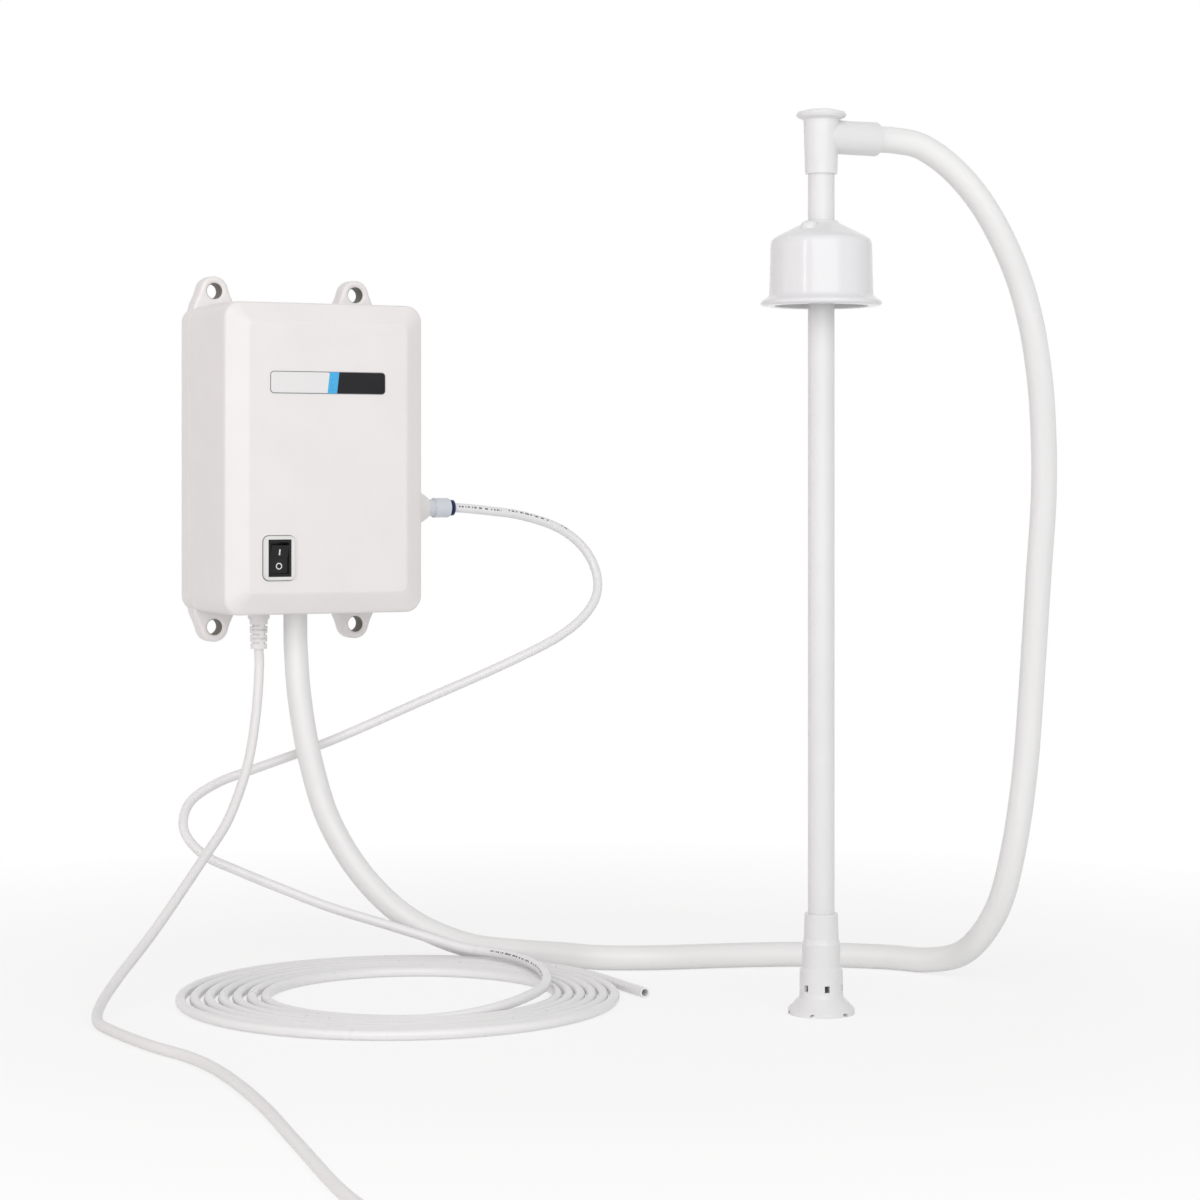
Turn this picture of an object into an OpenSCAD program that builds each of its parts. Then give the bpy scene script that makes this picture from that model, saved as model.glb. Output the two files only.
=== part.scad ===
// Bottled water pump: wall box with a motor pump, suction hose, bottle wand, outlet tube and power cord.
// Millimetres. X right, Y towards the wall, Z up. The wall is the plane Y = 0.
// The origin is the middle of the four wall screw holes.

/* [Case] */
// Width of the box
case_width = 140; // [136:1:150]
// Height of the box without the ears
case_height = 205; // [200:1:212]
// Depth from the wall to the front panel
case_depth = 92; // [90:1:100]
// Wall thickness of both shells
wall = 3; // [2.6:0.1:3.4]
// Corner radius of the outline
corner_radius = 11; // [9:0.5:14]
// Width of the sloping border round the front panel
bevel_width = 14; // [11:0.5:16]
// How far the sloping border falls back
bevel_depth = 8; // [6:0.5:10]
// Depth of the rear housing
rear_depth = 16; // [15:0.5:18]
// Thickness of the seal between the shells
gasket = 0.8; // [0.6:0.1:1.2]

/* [Ears] */
// Spacing of the wall screw holes across
ear_spacing_x = 102; // [98:1:106]
// Height of a hole centre over the box edge
ear_reach = 10.5; // [10:0.5:13]
// Diameter of a wall screw hole
ear_hole = 10; // [8:0.5:11]
// Radius of an ear's round end
ear_radius = 10; // [9.5:0.5:11]
// Width of an ear where it meets the box
ear_base = 31; // [28:1:34]
// Thickness of an ear
ear_thickness = 14; // [12:0.5:15]

/* [Switch] */
// Switch centre across
switch_x = -35; // [-37:1:-33]
// Switch centre in height
switch_z = -65; // [-68:1:-62]
// Light frame, width
frame_width = 22; // [21:0.5:24]
// Light frame, height
frame_height = 29; // [28:0.5:32]
// Black switch body, width
switch_width = 15.8; // [15:0.2:16.6]
// Black switch body, height
switch_height = 24.2; // [23.6:0.2:25]
// Tilt of the rocker from level, to either side
rocker_tilt = 8; // [6:0.5:9]

/* [Outlet] */
// Outlet axis, distance from the wall
outlet_depth = 58; // [56:0.5:60]
// Outlet axis height
outlet_z = -33; // [-35:0.5:-32]
// Outside diameter of the outlet tube
tube_diameter = 6.35; // [6:0.05:6.4]
// Outside diameter of the push-in fitting
fitting_diameter = 13.5; // [13:0.1:15]
// Height of the moulded boss on the side
boss_height = 15; // [14:0.5:16]
// Base diameter of the boss
boss_diameter = 25; // [23:0.5:27]

/* [Entries] */
// Distance of the bottom entries from the wall
entry_depth = 44; // [43:0.5:45]
// Suction inlet across
inlet_x = -5; // [-6:0.5:-4]
// Cord entry across
relief_x = -31; // [-32:0.5:-30]
// Outside diameter of the suction hose
hose_diameter = 16; // [15.6:0.1:16.2]
// Outside diameter of the power cord
cord_diameter = 6.4; // [6:0.1:6.6]
// Length of the ribbed strain relief under the box
relief_length = 24; // [22:0.5:26]

/* [Motor and pump] */
// Motor and pump axis across
pump_x = 18; // [17:0.5:19]
// Motor and pump axis, distance from the wall
pump_depth = 48; // [47:0.5:49]
// Motor can diameter
motor_diameter = 52; // [50:1:54]
// Motor can length
motor_length = 66; // [64:1:68]
// Pump housing diameter
pump_diameter = 60; // [59:0.5:61]
// Shaft diameter
shaft_diameter = 6; // [5:0.5:7]
// Bearing outside diameter
bearing_diameter = 17; // [16:0.5:19]

/* [Wand] */
// Wand axis across
wand_x = 200; // [195:1:205]
// Wand axis, distance from the wall
wand_depth = 384; // [380:1:388]
// Wand height over the floor
wand_height = 542; // [540:1:545]
// Wand tube diameter
wand_diameter = 16; // [15.4:0.2:16.4]
// Wand tube wall
wand_wall = 1.6; // [1.4:0.1:1.9]
// Bottle neck diameter that the cap takes
neck_diameter = 55; // [54:0.5:56]
// Free space round the neck
neck_clearance = 1.4; // [1.2:0.1:1.8]
// Cap wall
cap_wall = 2.4; // [2:0.1:2.8]
// Cap flange diameter
cap_flange = 73; // [70:0.5:76]
// Cap height
cap_height = 51.5; // [50:0.5:53]
// Foot diameter
foot_diameter = 40; // [36:1:44]
// Check ball diameter
ball_diameter = 14; // [13.4:0.2:14.6]

/* [Fits] */
// Radial clearance of running fits
run_fit = 0.05; // [0.03:0.01:0.08]
// Radial clearance of loose moving parts
loose_fit = 0.3; // [0.25:0.05:0.4]
// Which node to draw

/* [Hidden] */
$fn = 48;

floor_z = -334;
half_w = case_width / 2;
half_h = case_height / 2;
ear_x = ear_spacing_x / 2;
ear_z = half_h + ear_reach;
cover_start = rear_depth + gasket;
bevel_start = case_depth - bevel_depth;
pillar_x = half_w - 12;
pillar_z = half_h - 12;
pillar_r = 5;
screw_r = 1.75;
pilot_r = 1.8;
front_y = -case_depth;
outlet_y = -outlet_depth;
boss_x = half_w + boss_height;
tube_r = tube_diameter / 2;
fitting_r = fitting_diameter / 2;
stem_r = 5;
stub_r = 3.9;
link_x0 = pump_x + pump_diameter / 2 + 0.5;
link_x1 = half_w - wall - 5.5;
link_mid = link_x0 + (link_x1 - link_x0) * 5 / 13;
stub_gap = 0.5;
board_edge = 10;
board_clear = 38;
board_low = -20;
board_high = 78;
grommet_r = 12;
grommet_low = 13.5;
grommet_high = 7.5;
entry_y = -entry_depth;
hose_r = hose_diameter / 2;
barb_r = hose_r - 2.75;
cord_r = cord_diameter / 2;
bottom_z = -half_h;
pump_y = -pump_depth;
motor_r = motor_diameter / 2;
can_wall = 1.5;
pump_r = pump_diameter / 2;
motor_z = 10;
motor_top = motor_z + motor_length;
housing_z = -14;
valve_top = -16.5;
head_top = -28;
head_z = -58;
shaft_r = shaft_diameter / 2;
bearing_r = bearing_diameter / 2;
bolt_r = 26;
bracket_y = -12;
board_y = -11;
board_t = 1.6;
wand_y = -wand_depth;
wand_r = wand_diameter / 2;
wand_top = floor_z + wand_height;
head_low = wand_top - 38.5;
head_high = wand_top - 6;
arm_z = wand_top - 15.7;
arm_r = hose_r + 2.3;
arm_end = 38;
socket_x = arm_end - 16;
cap_z = head_low - 28 - cap_height;
cap_in = (neck_diameter + neck_clearance) / 2;
cap_r = cap_in + cap_wall;
ball_r = ball_diameter / 2;
seat_r = ball_r - 1.5;
seat_h = 24;
foot_r = 13;
intake_r = 10.5;
foot_h = 22;
ball_h = seat_h + sqrt(ball_r * ball_r - seat_r * seat_r);

// Route of the suction hose, from the box to the wand head
hose_route = [[-5, -44, -112], [-5, -45, -128], [-4, -50, -162], [1, -57, -202], [11, -66, -242],
  [30, -79, -278], [56, -96, -306], [88, -115, -322], [118, -136, -326], [138, -160, -326],
  [154, -182, -326], [186, -199, -326], [232, -212, -326], [280, -231, -326], [320, -263, -326],
  [338, -293, -325], [346, -323, -315], [353, -346, -287], [358, -357, -248], [362, -364, -197],
  [363, -370, -140], [362, -378, -79], [360, -387, -23], [355, -393, 24], [349, -396, 59], [341, -397, 91],
  [329, -397, 121], [311, -395, 152], [291, -391, 175], [270, -387, 189], [252, -384, 192.3],
  [238, -384, 192.3], [222, -384, 192.3]];
// Route of the outlet tube, from the fitting to its coil
tube_route = [[92, -58, -33], [106, -58, -33], [130, -56, -35], [160, -53, -39], [188, -53, -48],
  [206, -57, -63], [212, -64, -83], [203, -72, -102], [177, -77, -121], [134, -72, -141], [82, -53, -165],
  [26, -31, -191], [-24, -18, -209], [-49, -13, -218], [-70, -17, -230], [-79, -32, -246], [-71, -48, -261],
  [-50, -57, -272], [-26, -68, -283], [4, -84, -296], [36, -102, -307], [62, -118, -316], [79, -131, -321.5],
  [92, -148, -323], [97, -172, -323], [96, -198, -323], [91, -224, -323], [82, -249, -323], [74, -266, -323]];
// Route of the power cord, from the strain relief to its coil
cord_route = [[-31, -44, -126.5], [-31, -45, -140], [-36, -52, -170], [-46, -63, -202], [-65, -80, -234],
  [-88, -98, -256], [-135, -141, -293], [-170, -176, -315], [-190, -203, -326], [-201, -231, -330.6],
  [-203, -262, -330.7], [-198, -316, -330.7], [-189, -364, -330.7], [-189, -416, -330.7],
  [-198, -494, -330.7], [-215, -589, -330.7], [-233, -690, -330.5], [-239, -760, -329.7],
  [-240, -800, -329.5], [-240, -824, -329.5]];
// Short stretch from the coiled cord to the plug
lead_route = [[-198, -866, -322.6], [-190, -866, -322.8], [-172, -866, -324.8], [-158, -866, -326.8],
  [-150, -866, -327.1]];
// Flat floor coil of the outlet tube: middle and radius of the outer loop, step and drift of the middle for
// each loop inwards, first angle, turns, and the part of a turn in which the tube comes down into it
ring_mid = [-8, -230];
ring_r = 138;
ring_step = 7.85;
ring_drift = [0.7, -0.37];
ring_from = -35;
ring_turns = 7 + ring_from / 360;
ring_landing = 0.22;
ring_start = [sin(ring_from), -cos(ring_from), 0];
ring_low = floor_z + 3.3;
ring_high = floor_z + 11;
tube_end = 60;
// Put-away coil of the power cord
bundle_mid = [-198, -824];
bundle_r = 42;
bundle_step = 7.4;
bundle_turns = 3.25;
bundle_low = floor_z + 4.5;
bundle_high = floor_z + 11.4;

function lerp(a, b, t) = a + (b - a) * t;
function ease(t) = 0.5 - 0.5 * cos(180 * min(1, max(0, t)));
function unit(v) = v / norm(v);
function at(p, i) = p[min(len(p) - 1, max(0, i))];
// A smooth curve through the route points, n stretches to each
function spline(a, b, c, d, t) = 0.5 * (2 * b + (c - a) * t + (2 * a - 5 * b + 4 * c - d) * t * t
  + (3 * b - a - 3 * c + d) * t * t * t);
function curve(p, n) = [for (i = [0:len(p) - 2]) for (j = [0:n - 1])
  spline(i == 0 ? 2 * p[0] - p[1] : p[i - 1], p[i], p[i + 1],
    i == len(p) - 2 ? 2 * p[i + 1] - p[i] : p[i + 2], j / n), p[len(p) - 1]];
function heading(p, i) = unit(at(p, i + 1) - at(p, i - 1));
// Directions along a curve, with both ends given so that they meet their neighbours square
function headings(p, first, last) = [for (i = [0:len(p) - 1])
  i == 0 ? first : i == len(p) - 1 ? last : heading(p, i)];
function square_to(u, t) = unit(u - t * (u * t));
// A side direction carried along the curve without twist
function sides(h, u0) = [for (i = 0, u = square_to(u0, h[0]); i < len(h);
  i = i + 1, u = i < len(h) ? square_to(u, h[i]) : u) u];
function tube_points(p, h, r, n, u) = [for (i = [0:len(p) - 1]) let (v = cross(h[i], u[i]))
  for (k = [0:n - 1]) p[i] + r * (u[i] * cos(360 * k / n) + v * sin(360 * k / n))];
function tube_faces(m, n) = concat([[for (k = [0:n - 1]) k]], [[for (k = [0:n - 1]) (m - 1) * n + n - 1 - k]],
  [for (i = [0:m - 2]) for (k = [0:n - 1]) [i * n + k, (i + 1) * n + k, (i + 1) * n + (k + 1) % n]],
  [for (i = [0:m - 2]) for (k = [0:n - 1]) [i * n + k, (i + 1) * n + (k + 1) % n, i * n + (k + 1) % n]]);
// A coil in two layers: in on the first, over at the turning point, out on the second
function coil_radius(r, step, turns, s) = r - step * min(s, turns - s);
function coil_height(z0, z1, turns, s) = lerp(z0, z1, ease(2 * (s - turns / 2) + 0.5));
function coil_at(mid, r, step, turns, from, way, z0, z1, s) = let (a = from + way * 360 * s,
  q = coil_radius(r, step, turns, s))
  [mid[0] + q * cos(a), mid[1] + q * sin(a), coil_height(z0, z1, turns, s)];
function coil(mid, r, step, turns, from, way, z0, z1) = let (m = ceil(turns * 24))
  [for (i = [0:m]) coil_at(mid, r, step, turns, from, way, z0, z1, turns * i / m)];
// The flat coil: down into its inner loop, then outwards along the floor
function ring_at(s) = let (k = ring_turns - s, a = ring_from - 360 * s, q = ring_r - ring_step * k,
  mid = ring_mid + ring_drift * k)
  [mid[0] + q * cos(a), mid[1] + q * sin(a), lerp(ring_high, ring_low, ease(s / ring_landing))];
// Least distance of a coil from itself, measured between stretches half a turn or more apart
function least_gap(p, d) =
  min([for (i = [0:len(p) - 13]) for (j = [i + 12:len(p) - 1]) norm(p[i] - p[j])]) - d;

ring_count = ceil(ring_turns * 24);
ring_path = [for (i = [0:ring_count]) ring_at(ring_turns * i / ring_count)];
bundle_path = coil(bundle_mid, bundle_r, bundle_step, bundle_turns, 180, 1, bundle_low, bundle_high);
tube_path = concat(curve(tube_route, 2), [ring_path[0]]);
function length_of(p, i = 0, s = 0) = i >= len(p) - 1 ? s : length_of(p, i + 1, s + norm(p[i + 1] - p[i]));
echo(outlet_coil_gap = least_gap(ring_path, tube_diameter));
echo(cord_coil_gap = least_gap(bundle_path, cord_diameter));
echo(hose = length_of(curve(hose_route, 2)), tube = length_of(tube_path), ring = length_of(ring_path),
  cord = length_of(curve(cord_route, 2)), bundle = length_of(bundle_path), lead = length_of(lead_route));

module sweep(p, r, n, u, first, last) {
  h = headings(p, first, last);
  polyhedron(points = tube_points(p, h, r, n, sides(h, u)), faces = tube_faces(len(p), n), convexity = 10);
}

module plate2d(w, h, r) {
  square([w - 2 * r, h], center = true);
  square([w, h - 2 * r], center = true);
  for (x = [-1, 1]) {
    for (y = [-1, 1]) {
      translate([x * (w / 2 - r), y * (h / 2 - r)]) circle(r);
    }
  }
}

// Extrudes a flat outline in X and Z towards the front, starting at y
module slab(y, depth) {
  translate([0, y, 0]) rotate([90, 0, 0]) linear_extrude(depth) children();
}

// A round bar along X, along the front-to-back line and upright
module bar_x(x0, x1, y, z, r) {
  translate([x0, y, z]) rotate([0, 90, 0]) cylinder(h = x1 - x0, r = r);
}

module bar_y(y0, y1, x, z, r) {
  translate([x, y0, z]) rotate([90, 0, 0]) cylinder(h = y0 - y1, r = r);
}

module bar_z(z0, z1, x, y, r) {
  translate([x, y, z0]) cylinder(h = z1 - z0, r = r);
}

module block(x0, x1, y0, y1, z0, z1) {
  translate([x0, y0, z0]) cube([x1 - x0, y1 - y0, z1 - z0]);
}

module pillars_at() {
  for (x = [-1, 1]) {
    for (z = [-1, 1]) {
      translate([x * pillar_x, 0, z * pillar_z]) children();
    }
  }
}

module feet_at() {
  for (x = [-20, 20]) {
    for (z = [-18, 18]) {
      translate([pump_x + x, 0, motor_z + motor_length / 2 + z]) children();
    }
  }
}

module bolts_at() {
  for (a = [45:90:315]) {
    translate([pump_x + bolt_r * cos(a), pump_y + bolt_r * sin(a), 0]) children();
  }
}

module board_corners() {
  for (x = [-half_w + board_edge + 5, pump_x - board_clear - 5]) {
    for (z = [board_low + 6, board_high - 8]) {
      translate([x, 0, z]) children();
    }
  }
}

module ear2d(sx, sz) {
  x = sx * ear_x;
  root = sz * (half_h - 6);
  tip = sz * (ear_z + ear_radius * 0.28);
  side = ear_radius * 0.96;
  translate([x, sz * ear_z]) circle(ear_radius);
  polygon([[x - ear_base / 2, root], [x + ear_base / 2, root], [x + side, tip], [x - side, tip]]);
}

module rear_housing() {
  color([0.93, 0.91, 0.9])
  difference() {
    union() {
      difference() {
        union() {
          slab(0, rear_depth) plate2d(case_width, case_height, corner_radius);
          for (sx = [-1, 1]) {
            for (sz = [-1, 1]) {
              slab(0, ear_thickness) ear2d(sx, sz);
            }
          }
        }
        slab(-wall, rear_depth) plate2d(case_width - 2 * wall, case_height - 2 * wall, corner_radius - wall);
      }
      pillars_at() bar_y(-1, -rear_depth, 0, 0, pillar_r + 1);
      board_corners() bar_y(-1, board_y, 0, 0, 3);
    }
    for (sx = [-1, 1]) {
      for (sz = [-1, 1]) {
        bar_y(1, -ear_thickness - 1, sx * ear_x, sz * ear_z, ear_hole / 2);
      }
    }
    pillars_at() bar_y(1, -rear_depth - 1, 0, 0, pilot_r);
    pillars_at() bar_y(1, -6, 0, 0, 4);
    feet_at() bar_y(-0.8, -wall - 1, 0, 0, 1.6);
  }
}

// A tray that opens to the back, from a border profile of depths and insets, with mitred slopes
function both_sides(half, rim) = concat([for (p = rim) [p[0], half - p[1]]],
  [for (i = [len(rim) - 1:-1:0]) [rim[i][0], rim[i][1] - half]]);

module tray(rim, inset, r) {
  intersection() {
    slab(0, case_depth + 5) plate2d(case_width - 2 * inset, case_height - 2 * inset, r);
    translate([-case_width, 0, 0]) rotate([90, 0, 90]) linear_extrude(2 * case_width)
      polygon([for (p = both_sides(half_h, rim)) [-p[0], p[1]]]);
    translate([0, 0, -case_height]) linear_extrude(2 * case_height)
      polygon([for (p = both_sides(half_w, rim)) [p[1], -p[0]]]);
  }
}

module front_cover() {
  color([0.94, 0.92, 0.91])
  difference() {
    union() {
      difference() {
        tray([[cover_start, -2], [bevel_start - 4, -2], [bevel_start - 2, 0], [bevel_start, 0.7],
          [bevel_start + 1.6, 2.2], [case_depth - 0.75, bevel_width - 1.5], [case_depth, bevel_width + 2.5]],
          0, corner_radius);
        tray([[cover_start - 1, -2], [bevel_start - 5, -2], [bevel_start - 2.5, wall],
          [case_depth - wall, bevel_width + 2.5]], wall, corner_radius - wall);
      }
      translate([half_w - wall / 2, outlet_y, outlet_z]) rotate([0, 90, 0])
        cylinder(h = boss_height + wall / 2, r1 = boss_diameter / 2 + 1, r2 = boss_diameter / 2 - 2);
      pillars_at() bar_y(-cover_start, -bevel_start - 0.37 * bevel_depth, 0, 0, pillar_r);
    }
    pillars_at() bar_y(-cover_start + 1, -cover_start - 16, 0, 0, pilot_r);
    bar_x(half_w - wall - 1, boss_x + 1, outlet_y, outlet_z, stem_r + 0.1);
    bar_z(bottom_z - 1, bottom_z + wall + 1, inlet_x, entry_y, hose_r + loose_fit);
    bar_z(bottom_z - 1, bottom_z + wall + 1, relief_x, entry_y, 5.2);
    translate([switch_x, front_y, switch_z])
      cube([switch_width + 0.2, 4 * wall, switch_height + 0.2], center = true);
  }
}

module cover_gasket() {
  color([0.75, 0.75, 0.75])
  difference() {
    slab(-rear_depth, gasket) plate2d(case_width - 1, case_height - 1, corner_radius - 0.5);
    slab(-rear_depth + 1, gasket + 2)
      plate2d(case_width - 2 * wall, case_height - 2 * wall, corner_radius - wall);
  }
}

module cover_screws() {
  color([0.7, 0.7, 0.72])
  pillars_at()
  difference() {
    union() {
      bar_y(-3.6, -6, 0, 0, 3.6);
      bar_y(-6, -cover_start - 14, 0, 0, screw_r);
    }
    bar_y(-3, -5, 0, 0, 1.4, $fn = 6);
  }
}

module switch_frame() {
  color([0.92, 0.92, 0.91])
  translate([switch_x, 0, switch_z])
  difference() {
    union() {
      slab(front_y, 1.4) plate2d(frame_width, frame_height, 4);
      slab(front_y - 1.4, 0.8) plate2d(frame_width - 1.2, frame_height - 1.2, 3.4);
    }
    slab(front_y + 1, 5) square([switch_width + 0.2, switch_height + 0.2], center = true);
  }
}

module switch_body() {
  color([0.05, 0.05, 0.05])
  translate([switch_x, 0, switch_z])
  difference() {
    union() {
      slab(front_y + 24, 25.6) square([switch_width, switch_height], center = true);
      slab(front_y + wall + 2, 2) square([switch_width + 2, switch_height - 8], center = true);
    }
    slab(front_y + 8, 12) square([switch_width - 3.2, switch_height - 3.6], center = true);
    bar_x(-switch_width / 2 + 0.4, switch_width / 2 - 0.4, front_y + 4, 0, 1.2 + run_fit);
  }
}

module switch_terminals() {
  color([0.8, 0.66, 0.36])
  for (z = [-7, 0, 7]) {
    block(switch_x - 3, switch_x + 3, front_y + 24, front_y + 33, switch_z + z - 0.4, switch_z + z + 0.4);
  }
}

module switch_rocker() {
  half = switch_height / 2 - 2.8;
  width = switch_width - 3.8;
  color([0.04, 0.04, 0.04])
  translate([switch_x, front_y + 4, switch_z]) rotate([rocker_tilt, 0, 0]) {
    translate([-width / 2, 0, 0]) rotate([90, 0, 90]) linear_extrude(width)
      polygon([[-4.2, 0], [-5.5, half], [2, half - 0.7], [2, -half + 0.7], [-5.5, -half]]);
    bar_x(-width / 2 - 1, width / 2 + 1, 0, 0, 1.2);
  }
}

module outlet_fitting() {
  color([0.9, 0.93, 0.96])
  difference() {
    union() {
      bar_x(link_mid + stub_gap, link_x1 + 1, outlet_y, outlet_z, stub_r);
      bar_x(link_x1, boss_x, outlet_y, outlet_z, stem_r);
      bar_x(boss_x, boss_x + 4, outlet_y, outlet_z, stem_r + 0.7);
      bar_x(boss_x + 4, boss_x + 5, outlet_y, outlet_z, fitting_r - 0.5);
      bar_x(boss_x + 5, boss_x + 15, outlet_y, outlet_z, fitting_r);
      bar_x(boss_x + 15, boss_x + 16, outlet_y, outlet_z, fitting_r - 0.5);
    }
    bar_x(link_mid, boss_x + 8, outlet_y, outlet_z, tube_r - 1);
    bar_x(boss_x + 7, boss_x + 10, outlet_y, outlet_z, tube_r + 0.1);
    bar_x(boss_x + 9, boss_x + 17, outlet_y, outlet_z, tube_r + 1.25);
  }
}

module outlet_o_ring() {
  color([0.1, 0.1, 0.1])
  difference() {
    bar_x(boss_x + 9, boss_x + 10.8, outlet_y, outlet_z, tube_r + 1.25);
    bar_x(boss_x + 8, boss_x + 12, outlet_y, outlet_z, tube_r + 0.05);
  }
}

module outlet_collet() {
  color([0.08, 0.12, 0.35])
  difference() {
    union() {
      bar_x(boss_x + 12.4, boss_x + 17.6, outlet_y, outlet_z, tube_r + 0.95);
      bar_x(boss_x + 17.5, boss_x + 19.2, outlet_y, outlet_z, tube_r + 2.2);
    }
    bar_x(boss_x + 11, boss_x + 20, outlet_y, outlet_z, tube_r + loose_fit);
  }
}

module outlet_nut() {
  color([0.85, 0.85, 0.85])
  difference() {
    translate([half_w - wall - 5, outlet_y, outlet_z]) rotate([0, 90, 0]) cylinder(h = 5, r = 9, $fn = 6);
    bar_x(half_w - wall - 6, half_w - wall + 1, outlet_y, outlet_z, stem_r + 0.05);
  }
}

module link_tube() {
  color([0.9, 0.9, 0.88])
  difference() {
    bar_x(link_x0, link_x1 - 0.2, outlet_y, outlet_z, stub_r + 2);
    bar_x(link_x0 - 1, link_x1, outlet_y, outlet_z, stub_r + 0.05);
  }
}

module cord_relief() {
  color([0.88, 0.87, 0.86])
  difference() {
    union() {
      bar_z(bottom_z + wall, bottom_z + wall + 3, relief_x, entry_y, 7);
      bar_z(bottom_z - 1, bottom_z + wall, relief_x, entry_y, 5.1);
      bar_z(bottom_z - 4, bottom_z, relief_x, entry_y, 7.2);
      bar_z(bottom_z - relief_length + 1, bottom_z + wall + 1, relief_x, entry_y, 4);
      translate([relief_x, entry_y, bottom_z - relief_length])
        cylinder(h = relief_length - 4, r1 = 5.4, r2 = 6.1);
    }
    for (k = [0:4]) {
      translate([relief_x, entry_y, bottom_z - 9 - 2.9 * k])
      difference() {
        cylinder(h = 1.2, r = 8);
        translate([0, 0, -1]) cylinder(h = 4, r = 4.3);
        rotate([0, 0, 90 * (k % 2)]) translate([-1.5, -9, -1]) cube([3, 18, 4]);
      }
    }
    bar_z(bottom_z + wall - 4, bottom_z + wall + 4, relief_x, entry_y, cord_r);
  }
}

module motor_can() {
  color([0.6, 0.61, 0.63])
  difference() {
    bar_z(motor_z, motor_top, pump_x, pump_y, motor_r);
    bar_z(motor_z + 2, motor_top + 1, pump_x, pump_y, motor_r - can_wall);
    bar_z(motor_z - 1, motor_z + 3, pump_x, pump_y, bearing_r + 1);
    for (a = [30:60:330]) {
      translate([pump_x, pump_y, motor_z + 5]) rotate([0, 0, a]) translate([motor_r - 4, -2.5, 0])
        cube([8, 5, 9]);
    }
  }
}

module motor_end_bell() {
  color([0.2, 0.2, 0.21])
  difference() {
    union() {
      bar_z(motor_top, motor_top + 3, pump_x, pump_y, motor_r);
      bar_z(motor_top, motor_top + 10, pump_x, pump_y, bearing_r + 3);
    }
    bar_z(motor_top + 2, motor_top + 8, pump_x, pump_y, bearing_r);
    bar_z(motor_top - 1, motor_top + 3, pump_x, pump_y, bearing_r - 2);
    bar_z(motor_top + 7, motor_top + 11, pump_x, pump_y, shaft_r + 1);
  }
}

module motor_magnets() {
  color([0.16, 0.16, 0.17])
  difference() {
    bar_z(motor_z + 14, motor_top - 12, pump_x, pump_y, motor_r - can_wall);
    bar_z(motor_z + 13, motor_top - 11, pump_x, pump_y, motor_r - can_wall - 5);
    block(pump_x - 9, pump_x + 9, pump_y - motor_r, pump_y + motor_r, motor_z, motor_top);
  }
}

module motor_brushes() {
  color([0.25, 0.22, 0.2])
  for (s = [-1, 1]) {
    translate([pump_x, pump_y + s * 13.5, motor_top - 5.5]) cube([8, 10, 11], center = true);
  }
}

module race(z) {
  difference() {
    bar_z(z, z + 6, pump_x, pump_y, bearing_r);
    bar_z(z - 1, z + 7, pump_x, pump_y, shaft_r + run_fit);
  }
}

module bearing_upper() {
  color([0.75, 0.76, 0.78]) race(motor_top + 2);
}

module bearing_lower() {
  color([0.75, 0.76, 0.78]) race(motor_z - 6);
}

module motor_shaft() {
  color([0.78, 0.78, 0.8]) bar_z(-9, motor_top + 7.5, pump_x, pump_y, shaft_r);
}

module armature() {
  stack_r = motor_r - can_wall - 6.2;
  color([0.45, 0.45, 0.47])
  difference() {
    bar_z(motor_z + 18, motor_top - 16, pump_x, pump_y, stack_r);
    bar_z(motor_z + 17, motor_top - 15, pump_x, pump_y, shaft_r);
    for (a = [0:45:315]) {
      translate([pump_x, pump_y, motor_z]) rotate([0, 0, a]) translate([stack_r - 5, -1.2, 0])
        cube([8, 2.4, motor_length]);
    }
  }
}

module windings() {
  color([0.72, 0.4, 0.2])
  for (z = [motor_z + 11, motor_top - 16]) {
    difference() {
      bar_z(z, z + (z < motor_z + 20 ? 7 : 5), pump_x, pump_y, 14.5);
      bar_z(z - 1, z + 9, pump_x, pump_y, shaft_r);
    }
  }
}

module commutator() {
  color([0.75, 0.5, 0.3])
  difference() {
    bar_z(motor_top - 11, motor_top - 1, pump_x, pump_y, 8);
    bar_z(motor_top - 12, motor_top, pump_x, pump_y, shaft_r);
  }
}

module drive_cam() {
  color([0.7, 0.7, 0.72])
  difference() {
    translate([pump_x, pump_y, -2.5]) rotate([4, 0, 0]) cylinder(h = 10, r = 8, center = true);
    bar_z(-20, 20, pump_x, pump_y, shaft_r);
  }
}

module drive_housing() {
  color([0.15, 0.15, 0.16])
  difference() {
    bar_z(housing_z, motor_z, pump_x, pump_y, pump_r);
    bar_z(housing_z - 1, motor_z - 5, pump_x, pump_y, pump_r - 8);
    bar_z(motor_z - 6, motor_z + 1, pump_x, pump_y, bearing_r);
    bolts_at() bar_z(housing_z - 1, housing_z + 16, 0, 0, 2);
  }
}

module wobble_plate() {
  color([0.85, 0.85, 0.82])
  difference() {
    union() {
      bar_z(-8, 2, pump_x, pump_y, 13);
      for (a = [90:120:330]) {
        translate([pump_x + 13 * cos(a), pump_y + 13 * sin(a), housing_z]) cylinder(h = 12, r = 5);
      }
    }
    bar_z(-9, 3, pump_x, pump_y, 9.6);
    bar_z(housing_z - 1, -7.9, pump_x, pump_y, 9.6);
  }
}

module diaphragm() {
  color([0.08, 0.08, 0.08])
  difference() {
    union() {
      bar_z(valve_top, housing_z, pump_x, pump_y, pump_r - 0.4);
      for (a = [90:120:330]) {
        translate([pump_x + 13 * cos(a), pump_y + 13 * sin(a), valve_top - 2]) cylinder(h = 3, r = 6);
      }
    }
    bolts_at() bar_z(valve_top - 5, housing_z + 1, 0, 0, 2.1);
  }
}

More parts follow.
